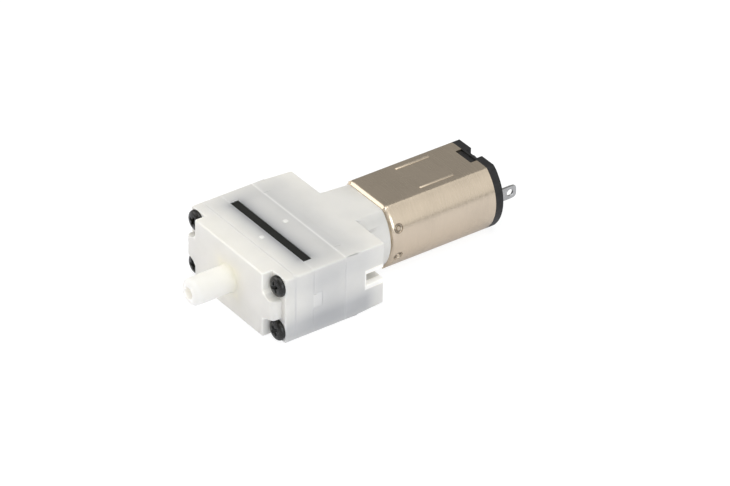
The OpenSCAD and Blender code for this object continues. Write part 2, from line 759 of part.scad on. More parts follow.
module motor_can() {
    y_dimple = y_can + can_edge_r + dimple_r + 0.05;
    color(can_nickel) difference() {
        union() {
            can_body(y_can, y_can_rear, can_r, can_h, can_edge_r);
            rod(boss_r, y_can - boss_t, y_can + cut);
            bead_end = y_can_rear - bead_inset;
            for (side = [-1, 1]) bead(side * bead_dx / 2, bead_end - bead_l, bead_end);
        }
        along_y(y_can_in, y_can_rear + cut) can_outline(can_in_r, can_in_h);
        rod(front_bearing_r + press_gap, y_can - boss_t - cut, y_can_in + cut);
        for (side = [-1, 1])
            rod(motor_screw_r + press_gap, y_can - cut, y_can_in + cut, side * motor_screw_dx / 2);
        for (side = [0, 180], a = [-dimple_angle, dimple_angle]) rotate([0, side - a, 0])
            translate([can_r - dimple_t, y_dimple, 0]) rotate([0, 90, 0]) cylinder(r = dimple_r, h = cut);
        translate([-window_w / 2, y_can_rear - window_l, can_in_h / 2 - can_wall / 2])
            cube([window_w, window_l + cut, 2 * can_wall]);
    }
}

// One arc magnet; side is -1 for left and +1 for right
module magnet(side) {
    color(magnet_grey) mirror([side < 0 ? 1 : 0, 0, 0])
        along_y(y_can + magnet_inset, y_plug - magnet_inset + plug_l) intersection() {
            polygon(concat(
                arc([0, 0], magnet_r, -magnet_half_angle, magnet_half_angle, 16),
                arc([0, 0], magnet_in_r, magnet_half_angle, -magnet_half_angle, 16)));
            square([can_d, can_in_h - 2 * seat_gap], center = true);
        }
}

// Spring clip in the upper gap between the magnets, which pushes them apart
module magnet_spring() {
    half = magnet_in_r * cos(magnet_half_angle) + 0.15;
    leg_w = 0.5;
    clip_l = 8;
    clip_t = 0.4;
    z = can_in_h / 2 - clip_t - 0.2;
    start = y_can + magnet_inset;
    color(steel) translate([0, start, z]) linear_extrude(clip_t) difference() {
        translate([-half, 0]) square([2 * half, clip_l]);
        translate([leg_w - half, leg_w]) square([2 * (half - leg_w), clip_l]);
    }
}

module front_bearing() {
    color(bronze) difference() {
        rod(front_bearing_r, y_front_bearing, y_front_bearing + bearing_l);
        rod(shaft_r + shaft_gap, y_front_bearing - cut, y_front_bearing + bearing_l + cut);
    }
}

module rear_bearing() {
    color(bronze) difference() {
        rod(rear_bearing_r, y_rear_bearing, y_rear_bearing + bearing_l);
        rod(shaft_r + shaft_gap, y_rear_bearing - cut, y_rear_bearing + bearing_l + cut);
    }
}

module motor_shaft() {
    color(steel) rod(shaft_r, y_shaft, y_shaft_end);
}

module washer(from) {
    color(cap_black) difference() {
        rod(washer_r, from, from + washer_t);
        rod(shaft_r + press_gap, from - cut, from + washer_t + cut);
    }
}

module front_washer() {
    washer(y_front_bearing + bearing_l + seat_gap);
}

module rear_washer() {
    washer(y_rear_bearing - seat_gap - washer_t);
}

// Iron core with its poles, necks and winding slots
module armature_core() {
    color(steel) along_y(y_core, y_core_end) difference() {
        circle(r = armature_r, $fn = 96);
        circle(r = shaft_r + press_gap);
        for (i = [0:pole_count - 1]) rotate(360 / pole_count * (i + 0.5)) {
            difference() {
                circle(r = shoe_r, $fn = 96);
                circle(r = core_hub_r);
                for (j = [-1, 1]) rotate(180 / pole_count * j) translate([0, -pole_neck_w / 2])
                    square([armature_r, pole_neck_w]);
                rotate(180 / pole_count) translate([-2 * armature_r, 0])
                    square([4 * armature_r, 2 * armature_r]);
                rotate(-180 / pole_count) translate([-2 * armature_r, -2 * armature_r])
                    square([4 * armature_r, 2 * armature_r]);
            }
            translate([core_hub_r, -slot_mouth / 2]) square([armature_r, slot_mouth]);
        }
    }
}

// Copper coils, one round the neck of each pole
module armature_windings() {
    half = pole_neck_w / 2 + coil_t;
    color(copper) for (i = [0:pole_count - 1]) rotate([0, -360 / pole_count * i, 0]) difference() {
        along_y(y_core - coil_over, y_core_end + coil_over) translate([coil_start, -half])
            square([coil_end - coil_start, 2 * half]);
        along_y(y_core - seat_gap, y_core_end + seat_gap) translate([0, -pole_neck_w / 2 - seat_gap])
            square([armature_r, pole_neck_w + 2 * seat_gap]);
    }
}

module commutator() {
    color(copper) along_y(y_commutator, y_commutator + commutator_l) difference() {
        circle(r = commutator_r);
        circle(r = shaft_r + press_gap);
        for (i = [0:pole_count - 1]) rotate(360 / pole_count * (i + 0.5))
            translate([commutator_r - 0.4, -0.12]) square([1, 0.24]);
    }
}

// A leaf that presses on the commutator and runs back to its terminal
module brush(side) {
    touch = commutator_r + seat_gap;
    base = y_plug + 0.4;
    start = y_commutator + 0.3;
    outer = terminal_dx / 2 - terminal_t / 2;
    color(copper) mirror([side < 0 ? 1 : 0, 0, 0]) translate([0, 0, -brush_w / 2])
        linear_extrude(brush_w) polygon([
            [touch, start], [touch + brush_t, start], [touch + brush_t, base - brush_t],
            [outer, base - brush_t], [outer, base], [touch, base]]);
}

module left_brush() {
    brush(-1);
}

module right_brush() {
    brush(1);
}

module end_cap() {
    bearing_wall = 0.8;
    cap_lip = 0.4;
    tongue_sink = 0.35;
    boss_ring_r = 2.7;
    boss_ring_t = 0.9;
    eye_hole_r = 1;
    rib_gap = 1.1;
    rib_w = 0.6;
    rib_l = 3.6;
    rib_out = 0.35;
    color(cap_black) difference() {
        union() {
            along_y(y_can_rear, y_cap) can_outline(can_r, can_h);
            along_y(y_plug, y_can_rear + cut) difference() {
                can_outline(can_in_r - seat_gap, can_in_h - 2 * seat_gap);
                can_outline(can_in_r - plug_wall, can_in_h - 2 * plug_wall);
            }
            rod(rear_bearing_r + bearing_wall, y_rear_bearing, y_can_rear + cut);
            // tongue that lies a little deep in the can's window
            translate([seat_gap - window_w / 2, y_can_rear - window_l + seat_gap, can_in_h / 2 - can_wall])
                cube([window_w - 2 * seat_gap, window_l - seat_gap + cut, 2 * can_wall - tongue_sink]);
            // raised ring round the rear bearing, and a rib beside each terminal
            rod(boss_ring_r, y_cap - cut, y_cap + boss_ring_t);
            rib_x = terminal_dx / 2 - rib_gap;
            for (side = [-1, 1]) translate([side * rib_x - rib_w / 2, y_cap - cut, -rib_l / 2])
                cube([rib_w, cut + rib_out, rib_l]);
        }
        rod(rear_bearing_r + press_gap, y_rear_bearing - cut, y_rear_bearing + bearing_l + press_gap);
        rod(eye_hole_r, y_rear_bearing, y_cap + boss_ring_t + cut);
        translate([-cap_slot_w / 2, y_can_rear + cap_lip, can_h / 2 - cap_slot_h])
            cube([cap_slot_w, cap_t, 2 * cap_slot_h]);
        for (side = [-1, 1]) translate([side * terminal_dx / 2, (y_plug + y_cap) / 2, 0])
            cube([terminal_t + 2 * press_gap, plug_l + cap_t + 2 * cut, terminal_w + 2 * press_gap],
                center = true);
    }
}

// A flat tab with rounded corners and a wire hole
module terminal(side) {
    half = terminal_w / 2;
    start = y_plug + 0.2;
    tip = y_cap + terminal_l;
    corner_r = 0.7;
    color(steel) translate([side * terminal_dx / 2 - terminal_t / 2, 0, 0]) rotate([90, 0, 90])
        linear_extrude(terminal_t) difference() {
            polygon(concat([[start, -half]], arc([tip - corner_r, corner_r - half], corner_r, -90, 0),
                arc([tip - corner_r, half - corner_r], corner_r, 0, 90), [[start, half]]));
            translate([tip - terminal_hole_inset, 0]) circle(r = terminal_hole_r);
        }
}

module left_terminal() {
    terminal(-1);
}

module right_terminal() {
    terminal(1);
}

front_cover();
cover_gasket();
valve_plate();
valve(valve_dx - chamber_x, 1);  // inlet_valve_left
valve(chamber_x - valve_dx, 1);  // inlet_valve_right
valve(-chamber_x - valve_dx, -1);  // outlet_valve_left
valve(chamber_x + valve_dx, -1);  // outlet_valve_right
diaphragm();
diaphragm_frame();
rocker();
crank_pin();
crank_wheel();
crankcase();
housing_screws();
motor_screws();
motor_can();
magnet(-1);  // left_magnet
magnet(1);  // right_magnet
magnet_spring();
front_bearing();
rear_bearing();
motor_shaft();
front_washer();
rear_washer();
armature_core();
armature_windings();
commutator();
left_brush();
right_brush();
end_cap();
left_terminal();
right_terminal();
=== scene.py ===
# %% [markdown]
# # A micro vacuum pump in translucent plastic and satin nickel
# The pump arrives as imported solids, in metres: a moulded head in four layers, its screws, and a flat motor.
# This script dresses them. Hidden solids keep their shape and get a finish, and each piece that the camera
# sees close up is made again with softer edges, or modelled afresh where the solid is too plain.

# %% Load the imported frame
import json
import math

import bmesh
import bpy
from mathutils import Matrix, Vector

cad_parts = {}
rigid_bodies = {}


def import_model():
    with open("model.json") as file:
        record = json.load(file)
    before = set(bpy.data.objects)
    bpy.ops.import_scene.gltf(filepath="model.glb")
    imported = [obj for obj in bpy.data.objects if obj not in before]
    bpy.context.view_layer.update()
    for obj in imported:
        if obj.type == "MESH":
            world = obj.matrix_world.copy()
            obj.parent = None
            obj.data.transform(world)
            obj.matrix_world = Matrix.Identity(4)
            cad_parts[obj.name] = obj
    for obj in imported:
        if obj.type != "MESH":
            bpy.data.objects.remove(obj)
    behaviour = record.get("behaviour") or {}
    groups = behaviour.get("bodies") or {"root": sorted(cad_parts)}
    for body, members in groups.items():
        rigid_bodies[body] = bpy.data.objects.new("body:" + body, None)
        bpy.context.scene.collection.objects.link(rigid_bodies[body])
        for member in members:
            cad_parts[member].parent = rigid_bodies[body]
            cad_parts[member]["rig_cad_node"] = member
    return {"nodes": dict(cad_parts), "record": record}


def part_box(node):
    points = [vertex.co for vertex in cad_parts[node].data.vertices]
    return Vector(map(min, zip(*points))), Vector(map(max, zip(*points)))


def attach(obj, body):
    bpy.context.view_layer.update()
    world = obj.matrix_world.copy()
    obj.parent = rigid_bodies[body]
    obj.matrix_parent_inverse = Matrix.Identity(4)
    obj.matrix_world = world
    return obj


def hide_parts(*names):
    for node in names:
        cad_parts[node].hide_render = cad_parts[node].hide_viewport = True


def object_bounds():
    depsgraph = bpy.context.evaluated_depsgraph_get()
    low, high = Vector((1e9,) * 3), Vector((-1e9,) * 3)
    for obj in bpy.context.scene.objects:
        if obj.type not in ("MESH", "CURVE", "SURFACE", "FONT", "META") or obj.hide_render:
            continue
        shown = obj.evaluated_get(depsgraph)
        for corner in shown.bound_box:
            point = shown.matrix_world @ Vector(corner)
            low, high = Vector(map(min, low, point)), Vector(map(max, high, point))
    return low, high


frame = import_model()
NODES = frame["nodes"]
MM = 0.001
cad_low, cad_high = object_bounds()
print("packed box in mm:", [round(v / MM, 2) for v in cad_high - cad_low])

# %% [markdown]
# ## Camera
# Product photographs like this one are taken from far away with a long lens, so that parallel edges stay
# nearly parallel. The camera stands in front of the pump, to its right and above it, 0.8 m away.

# %% Place the camera
CAMERA_PLACE = Vector((539.265, -368.559, 440.592)) * MM
CAMERA_AIM = Vector((5.046, 23.232, 0.6745)) * MM
CAMERA_ROLL = math.radians(0.892)
CAMERA_LENS = 243.607
SENSOR_W = 36

bpy.ops.object.camera_add(location=CAMERA_PLACE)
camera = bpy.context.object
camera.name = "photo_camera"
camera.data.lens = CAMERA_LENS
camera.data.sensor_width = SENSOR_W
camera.data.clip_start = 0.01
camera.data.clip_end = 20
aimed = (CAMERA_AIM - CAMERA_PLACE).to_track_quat("-Z", "Y").to_matrix().to_4x4()
camera.matrix_world = Matrix.Translation(CAMERA_PLACE) @ aimed @ Matrix.Rotation(CAMERA_ROLL, 4, "Z")
bpy.context.scene.camera = camera
bpy.context.scene.view_settings.view_transform = "Standard"
print("camera stands", round((CAMERA_PLACE - CAMERA_AIM).length, 3), "m away")

# %% [markdown]
# ## Nodes without the noise
# Every finish below is a tree of nodes. One helper adds a node, sets its options, and fills its inputs with
# plain values or with links from other nodes, so that a tree reads from top to bottom like a recipe.


# %% A helper that adds a node
def put(tree, kind, inputs=None, **settings):
    """A new node, with its options set and its inputs filled or linked."""
    node = tree.nodes.new(kind)
    for name, value in settings.items():
        setattr(node, name, value)
    for name, value in (inputs or {}).items():
        if isinstance(value, bpy.types.NodeSocket):
            tree.links.new(value, node.inputs[name])
        else:
            node.inputs[name].default_value = value
    return node


def reckon(tree, operation, *values):
    """A Math node's result."""
    return put(tree, "ShaderNodeMath", dict(enumerate(values)), operation=operation).outputs[0]


def ramp(tree, value, low, high, out_low, out_high):
    """A smooth step from one value to another, as the input goes from low to high."""
    inputs = {"Value": value, "From Min": low, "From Max": high, "To Min": out_low, "To Max": out_high}
    return put(tree, "ShaderNodeMapRange", inputs, interpolation_type="SMOOTHSTEP").outputs[0]


# %% [markdown]
# ## Light
# A small product is lit by large softboxes, so that its highlights are broad and its shadows faint. Here
# one hangs overhead, one stands at the front left and a smaller, cooler one at the right. They are area
# lamps, kept dim enough that the pale plastic doesn't bleach out.

# %% Softboxes
COOL_LIGHT = (0.84, 0.92, 1)


def softbox(name, place, aim, width, height, power, colour=(1, 1, 1)):
    """A flat lamp that faces its aim; metres and watts."""
    bpy.ops.object.light_add(type="AREA", location=place)
    lamp = bpy.context.object
    lamp.name = name
    lamp.data.shape = "RECTANGLE"
    lamp.data.size = width
    lamp.data.size_y = height
    lamp.data.energy = power
    lamp.data.color = colour
    lamp.rotation_euler = (Vector(aim) - Vector(place)).to_track_quat("-Z", "Y").to_euler()
    return lamp


softbox("overhead_softbox", (0.05, 0.02, 0.55), (0, 0.02, 0), width=0.6, height=0.5, power=1.4)
softbox("front_left_softbox", (-0.48, -0.38, 0.36), (0, 0.01, 0), width=0.6, height=0.6, power=1.85)
softbox("right_softbox", (0.55, -0.10, 0.22), (0, 0.02, 0), width=0.4, height=0.3, power=0.95,
        colour=COOL_LIGHT)

# %% [markdown]
# ## White sweep
# The pump lies on paper that the photograph shows as pure white. More light would bleach the pump as well,
# so the paper glows by itself: fully to the camera, a quarter as much to the metal that mirrors it, and not
# at all to the plastic above it. Under its glow it still takes a faint shadow.

# %% Lay the sweep
FLOOR_Z = cad_low.z - 0.02 * MM
PAPER = (0.88, 0.88, 0.93, 1)
SHADED = (0.2, 0.2, 0.2, 1)
GLOW = 0.88
MIRRORED_SHARE = 0.25

bpy.ops.mesh.primitive_plane_add(size=4, location=(0, 0, FLOOR_Z))
floor = bpy.context.object
floor.name = "white_floor"
sweep = bpy.data.materials.new("white_sweep")
sweep.use_nodes = True
tree = sweep.node_tree
tree.nodes.clear()
paper = put(tree, "ShaderNodeBsdfDiffuse", {"Color": PAPER})
shade = put(tree, "ShaderNodeBsdfDiffuse", {"Color": SHADED})
glow = put(tree, "ShaderNodeEmission", {"Strength": GLOW})
seen = put(tree, "ShaderNodeAddShader", {0: shade.outputs[0], 1: glow.outputs[0]})
path = put(tree, "ShaderNodeLightPath")
mirrored = reckon(tree, "MULTIPLY", path.outputs["Is Glossy Ray"], MIRRORED_SHARE)
shown = reckon(tree, "MAXIMUM", path.outputs["Is Camera Ray"], path.outputs["Is Transmission Ray"])
shown = reckon(tree, "MAXIMUM", shown, mirrored)
either = put(tree, "ShaderNodeMixShader", {0: shown, 1: paper.outputs[0], 2: seen.outputs[0]})
put(tree, "ShaderNodeOutputMaterial", {"Surface": either.outputs[0]})
floor.data.materials.append(sweep)
print("floor at z =", round(FLOOR_Z / MM, 2), "mm")

# %% [markdown]
# ## Surroundings
# Plastic takes an even fill from the world. Metal mirrors what stands around it, and a plain white room
# makes it flat. So glossy rays see a darker studio at the left, white walls at the right, and a thin dark
# line where the sweep meets the wall. The camera itself sees white.

# %% World
FILL = 0.48
DARK_WALL = 0.38
LIGHT_WALL = 1.0
DARK_X = -0.1
LIGHT_X = 0.75
LINE_Z = 0.02
LINE_CORE = 0.02
LINE_EDGE = 0.08
LINE_TONE = 0.35

world = bpy.data.worlds.new("studio")
bpy.context.scene.world = world
world.use_nodes = True
tree = world.node_tree
direction = put(tree, "ShaderNodeTexCoord").outputs["Generated"]
parts = put(tree, "ShaderNodeSeparateXYZ", {0: direction})
wall = ramp(tree, parts.outputs["X"], DARK_X, LIGHT_X, DARK_WALL, LIGHT_WALL)
off_line = reckon(tree, "ABSOLUTE", reckon(tree, "SUBTRACT", parts.outputs["Z"], LINE_Z))
wall = reckon(tree, "MULTIPLY", wall, ramp(tree, off_line, LINE_CORE, LINE_EDGE, LINE_TONE, 1.0))
path = put(tree, "ShaderNodeLightPath")
choice = {0: path.outputs["Is Glossy Ray"], 2: FILL, 3: wall}
strength = put(tree, "ShaderNodeMix", choice, data_type="FLOAT")
direct = reckon(tree, "MAXIMUM", path.outputs["Is Camera Ray"], path.outputs["Is Transmission Ray"])
strength = reckon(tree, "MAXIMUM", strength.outputs[0], direct)
tree.links.new(strength, tree.nodes["Background"].inputs["Strength"])
tree.nodes["Background"].inputs["Color"].default_value = (1, 1, 1, 1)
print("world fill", FILL)

# %% [markdown]
# ## Soft patches and grain
# Moulded, cast and plated surfaces are never one flat colour: they have soft patches a few millimetres
# wide and a fine grain. Many finishes need both, so they are a node group: built once, placed in each
# material, and set there to that material's own sizes. Its place comes in as millimetres on the object.


# %% A helper that starts a node group
def new_group(name, inputs, outputs):
    """An empty node group, with the sockets that its inputs and outputs name."""
    group = bpy.data.node_groups.new(name, "ShaderNodeTree")
    for label, kind in inputs.items():
        group.interface.new_socket(label, in_out="INPUT", socket_type="NodeSocket" + kind)
    for label, kind in outputs.items():
        group.interface.new_socket(label, in_out="OUTPUT", socket_type="NodeSocket" + kind)
    start = group.nodes.new("NodeGroupInput").outputs
    end = group.nodes.new("NodeGroupOutput").inputs
    return group, start, end


def millimetres(tree):
    """The place on the object, in millimetres."""
    place = put(tree, "ShaderNodeTexCoord").outputs["Object"]
    return put(tree, "ShaderNodeVectorMath", {0: place, "Scale": 1 / MM}, operation="SCALE").outputs[0]


# %% Group of soft patches
PATCHES, start, end = new_group(
    "soft_patches",
    {"Place": "Vector", "Colour": "Color", "Patch": "Float", "Depth": "Float", "Roughness": "Float",
     "Spread": "Float", "Grain": "Float"},
    {"Colour": "Color", "Roughness": "Float", "Height": "Float"})
tree = PATCHES
wide = put(tree, "ShaderNodeTexNoise", {
    "Vector": start["Place"], "Scale": reckon(tree, "DIVIDE", 1.0, start["Patch"]), "Detail": 3.0})
fine = put(tree, "ShaderNodeTexNoise", {
    "Vector": start["Place"], "Scale": reckon(tree, "DIVIDE", 1.0, start["Grain"]), "Detail": 2.0})
dip = reckon(tree, "MULTIPLY", ramp(tree, wide.outputs["Fac"], 0.35, 0.65, 0.0, 1.0), start["Depth"])
kept = reckon(tree, "SUBTRACT", 1.0, dip)
toned = put(tree, "ShaderNodeVectorMath", {0: start["Colour"], "Scale": kept}, operation="SCALE")
swing = reckon(tree, "SUBTRACT", fine.outputs["Fac"], 0.5)
swing = reckon(tree, "ADD", swing, reckon(tree, "SUBTRACT", wide.outputs["Fac"], 0.5))
rough = reckon(tree, "MULTIPLY_ADD", swing, start["Spread"], start["Roughness"])
tree.links.new(toned.outputs[0], end["Colour"])
tree.links.new(rough, end["Roughness"])
tree.links.new(fine.outputs["Fac"], end["Height"])
print("group", PATCHES.name, "has", len(PATCHES.nodes), "nodes")

# %% [markdown]
# ## Brushed lines
# Rolled sheet, turned shafts and polished cans carry fine lines in the direction of the work. Noise that is
# squeezed across the lines and drawn out along them gives the same streaks, broad ones and hair-fine ones.

# %% Group of brushed lines
LINES, start, end = new_group("brushed_lines", {"Place": "Vector", "Stretch": "Vector"}, {"Line": "Float"})
tree = LINES
drawn = put(tree, "ShaderNodeVectorMath", {0: start["Place"], 1: start["Stretch"]}, operation="MULTIPLY")
broad = put(tree, "ShaderNodeTexNoise", {"Vector": drawn.outputs[0], "Scale": 1.0, "Detail": 1.0})
hair = put(tree, "ShaderNodeTexNoise", {"Vector": drawn.outputs[0], "Scale": 4.0, "Detail": 3.0})
broad_part = reckon(tree, "MULTIPLY", broad.outputs["Fac"], 0.4)
both = reckon(tree, "MULTIPLY_ADD", hair.outputs["Fac"], 0.6, broad_part)
tree.links.new(both, end["Line"])
print("group", LINES.name, "has", len(LINES.nodes), "nodes")

# %% [markdown]
# ## Nearness to something hidden
# Marks and shadows sit where some piece is, in or behind the surface. Painting them would need an image.
# Instead a group measures how far each point lies from a block given by its centre and half its size, and
# turns that distance into 1 on the block and less and less away from it.

# %% Group for nearness
NEAR, start, end = new_group(
    "nearness",
    {"Place": "Vector", "Centre": "Vector", "Half": "Vector", "Reach": "Float"},
    {"Near": "Float"})
tree = NEAR
away = put(tree, "ShaderNodeVectorMath", {0: start["Place"], 1: start["Centre"]}, operation="SUBTRACT")
away = put(tree, "ShaderNodeVectorMath", {0: away.outputs[0]}, operation="ABSOLUTE")
away = put(tree, "ShaderNodeVectorMath", {0: away.outputs[0], 1: start["Half"]}, operation="SUBTRACT")
away = put(tree, "ShaderNodeVectorMath", {0: away.outputs[0], 1: (0, 0, 0)}, operation="MAXIMUM")
gap = put(tree, "ShaderNodeVectorMath", {0: away.outputs[0]}, operation="LENGTH").outputs["Value"]
fade = reckon(tree, "MULTIPLY", reckon(tree, "DIVIDE", gap, start["Reach"]), -1.0)
tree.links.new(reckon(tree, "EXPONENT", fade), end["Near"])
print("group", NEAR.name, "has", len(NEAR.nodes), "nodes")


def nearness(tree, place, centre, half, reach):
    """1 on a hidden block, fading to 0 away from it; all in mm."""
    group = put(tree, "ShaderNodeGroup", node_tree=NEAR)
    tree.links.new(place, group.inputs["Place"])
    group.inputs["Centre"].default_value = centre
    group.inputs["Half"].default_value = half
    group.inputs["Reach"].default_value = reach
    return group.outputs["Near"]

# %% [markdown]
# ## Finishes for everyday materials
# Rubber, plated steel, acetal, bronze and the rest differ in a handful of numbers: colour, metal or not,
# roughness, how wide and how deep the patches are, how fine the grain is. One recipe builds them all, and a
# finish that is drawn or turned gets brushed lines on top.


# %% The common recipe
LINE_TONES = (0.96, 1.03)
LINE_ROUGHNESS = (-0.03, 0.04)


def finish(name, colour, metallic, roughness, patch, depth, spread, grain, bump, stretch=None, shine=0.5):
    """One finish; patch, grain and bump in mm, depth of the tone's dips, spread of the roughness."""
    material = bpy.data.materials.new(name)
    material.use_nodes = True
    tree = material.node_tree
    shader = tree.nodes["Principled BSDF"]
    shader.inputs["Metallic"].default_value = metallic
    shader.inputs["Specular IOR Level"].default_value = shine
    place = millimetres(tree)
    cloud = put(tree, "ShaderNodeGroup", node_tree=PATCHES)
    tree.links.new(place, cloud.inputs["Place"])
    cloud.inputs["Colour"].default_value = (*colour, 1)
    sizes = {"Patch": patch, "Depth": depth, "Roughness": roughness, "Spread": spread, "Grain": grain}
    for label, value in sizes.items():
        cloud.inputs[label].default_value = value
    colour_out = cloud.outputs["Colour"]
    rough_out = cloud.outputs["Roughness"]
    height = cloud.outputs["Height"]
    if stretch:
        lines = put(tree, "ShaderNodeGroup", node_tree=LINES)
        tree.links.new(place, lines.inputs["Place"])
        lines.inputs["Stretch"].default_value = stretch
        line = lines.outputs["Line"]
        lift = ramp(tree, line, 0.35, 0.65, *LINE_TONES)
        lit = put(tree, "ShaderNodeVectorMath", {0: colour_out, "Scale": lift}, operation="SCALE")
        colour_out = lit.outputs[0]
        rough_out = reckon(tree, "ADD", rough_out, ramp(tree, line, 0.3, 0.7, *LINE_ROUGHNESS))
        height = line
    relief = put(tree, "ShaderNodeBump", {"Height": height, "Strength": 1.0, "Distance": bump * MM})
    tree.links.new(colour_out, shader.inputs["Base Color"])
    tree.links.new(rough_out, shader.inputs["Roughness"])
    tree.links.new(relief.outputs[0], shader.inputs["Normal"])
    return material


# %% [markdown]
# ## Marks on the can
# Four ring-shaped stakes are struck into the round sides of the can, and two beads are pressed up from its
# upper flat. A groove lies in its own shade and a bead catches light, so the grooves get painted shade and
# the beads a painted highlight. Both are mixed into the nickel by place, so that they lie where the shape
# has them.

# %% Places of the marks on the can
can_low, can_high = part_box("motor_can")
CAN_R = can_high.x / MM
CAN_BACK = can_high.y / MM
BEAD_DX = 6.7
BEAD_L = 6.9
BEAD_INSET = 5.7
BEAD_FROM = CAN_BACK - BEAD_INSET - BEAD_L
BEAD_W = 0.5
BEAD_Z = 6.1
BEAD_PAINTED_HIGHLIGHT = 0.42
STAKE_Y = 28.4
STAKE_ANGLE = math.radians(20.5)
STAKE_RING = 0.6
STAKE_GROOVE = 0.26
STAKE_PAINTED_SHADE = 0.42
STAKE_PLACE = (CAN_R * math.cos(STAKE_ANGLE), STAKE_Y, CAN_R * math.sin(STAKE_ANGLE))
print("stakes in mm:", [round(v, 2) for v in STAKE_PLACE])


# %% Marks in the nickel
def mark_can(material):
    """Paints shade into the grooves round the can's four stakes, and a painted highlight onto its two beads.
    """
    tree = material.node_tree
    shader = tree.nodes["Principled BSDF"]
    folded = put(tree, "ShaderNodeVectorMath", {0: millimetres(tree)}, operation="ABSOLUTE").outputs[0]
    from_stake = put(tree, "ShaderNodeVectorMath", {0: folded, 1: STAKE_PLACE}, operation="DISTANCE")
    off_ring = reckon(tree, "SUBTRACT", from_stake.outputs["Value"], STAKE_RING)
    off_ring = reckon(tree, "ABSOLUTE", off_ring)
    # Painted shade in the groove round each stake
    keep = ramp(tree, off_ring, 0.08, STAKE_GROOVE + 0.06, STAKE_PAINTED_SHADE, 1.0)
    plain = shader.inputs["Base Color"].links[0].from_socket
    # Painted highlight along the two beads
    bead_half = (BEAD_W / 2 - 0.12, BEAD_L / 2 - 0.2, 0.1)
    bead = nearness(tree, folded, (BEAD_DX / 2, BEAD_FROM + BEAD_L / 2, BEAD_Z), bead_half, 0.06)
    keep = reckon(tree, "MULTIPLY_ADD", bead, BEAD_PAINTED_HIGHLIGHT, keep)
    toned = put(tree, "ShaderNodeVectorMath", {0: plain, "Scale": keep}, operation="SCALE")
    tree.links.new(toned.outputs[0], shader.inputs["Base Color"])


# %% [markdown]
# ## The palette
# Each finish is named by the record's material slot. The nickel and the steel have lines round the motor's
# axis, as drawn and turned metal does, and the brushes and tabs have theirs along it.

# %% Mix the finishes
ALONG_Y = (6, 0.3, 6)
ROUND_Y = (0.25, 10, 0.25)
FINISHES = {
    "silicone": finish(
        "soft_silicone", (0.68, 0.66, 0.6), metallic=0, roughness=0.5,
        patch=3, depth=0.08, spread=0.1, grain=0.2, bump=0.004),
    "black_rubber": finish(
        "black_rubber", (0.011, 0.011, 0.009), metallic=0, roughness=0.7,
        patch=2, depth=0.25, spread=0.15, grain=0.12, bump=0.01, shine=0.3),
    "acetal": finish(
        "waxy_acetal", (0.86, 0.86, 0.88), metallic=0, roughness=0.4,
        patch=3, depth=0.05, spread=0.1, grain=0.15, bump=0.004),
    "black_screw": finish(
        "black_oxide", (0.009, 0.0085, 0.006), metallic=0, roughness=0.26,
        patch=0.6, depth=0.4, spread=0.3, grain=0.15, bump=0.025, shine=0.45),
    "nickel_can": finish(
        "satin_nickel", (0.68, 0.578, 0.45), metallic=1, roughness=0.24,
        patch=5, depth=0.05, spread=0.05, grain=0.3, bump=0.0006, stretch=ROUND_Y),
    "magnet": finish(
        "ferrite", (0.055, 0.055, 0.062), metallic=0.1, roughness=0.65,
        patch=1, depth=0.3, spread=0.2, grain=0.08, bump=0.01),
    "steel": finish(
        "bright_steel", (0.62, 0.63, 0.65), metallic=1, roughness=0.28,
        patch=3, depth=0.06, spread=0.08, grain=0.2, bump=0.001, stretch=ROUND_Y),
    "bronze": finish(
        "sintered_bronze", (0.4, 0.26, 0.1), metallic=1, roughness=0.45,
        patch=0.8, depth=0.25, spread=0.2, grain=0.06, bump=0.006),
    "copper": finish(
        "copper", (0.72, 0.27, 0.1), metallic=1, roughness=0.3,
        patch=1.5, depth=0.12, spread=0.1, grain=0.1, bump=0.002, stretch=ALONG_Y),
    "black_plastic": finish(
        "cap_plastic", (0.02, 0.0195, 0.0195), metallic=0, roughness=0.45,
        patch=1.5, depth=0.2, spread=0.12, grain=0.08, bump=0.006, shine=0.3),
    "tinned_tab": finish(
        "tinned_sheet", (0.5, 0.5, 0.49), metallic=1, roughness=0.3,
        patch=1.2, depth=0.12, spread=0.15, grain=0.15, bump=0.002, stretch=ALONG_Y),
}
mark_can(FINISHES["nickel_can"])
print(len(FINISHES), "finishes from one recipe")

# %% [markdown]
# ## Milky plastic
# The head is moulded in a natural, slightly milky resin. Light enters it, so dark things inside show
# through as soft grey shadows: the rubber flange, the cups and the rocker behind it, and the long black
# screws. A real simulation of that would be noisy and slow, so the shader scatters light just under the
# skin, and each shadow is painted into the colour, with a cool tint, by how near a point is to the hidden
# piece. Painted light goes the other way: the seams and the nozzle's root are painted lighter, and the
# seams, recesses, slots, tabs, nozzle and moulding marks get a painted glow.

# %% Where the dark pieces lie
flange_low, flange_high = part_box("diaphragm")
plate_low, plate_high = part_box("valve_plate")
case_low, case_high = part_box("crankcase")
screw_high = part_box("housing_screws")[1]
FLANGE_T = 1.6
HEAD_R = 1.85
SCREW_X = screw_high.x / MM - HEAD_R
SCREW_Z = screw_high.z / MM - HEAD_R
COVER_SEAM = plate_low.y / MM
PLATE_SEAM = flange_low.y / MM
FRAME_SEAM = case_low.y / MM
print("seams at", round(COVER_SEAM, 2), round(PLATE_SEAM, 2), round(FRAME_SEAM, 2), "mm")


# %% Painted shadows of what lies inside
FLANGE_HALF = (flange_high.x / MM - 1, FLANGE_T / 2, 5.9)
SHAFT_Y = 9.7
SHAFT_HALF = (0.6, 7.8, 0.6)


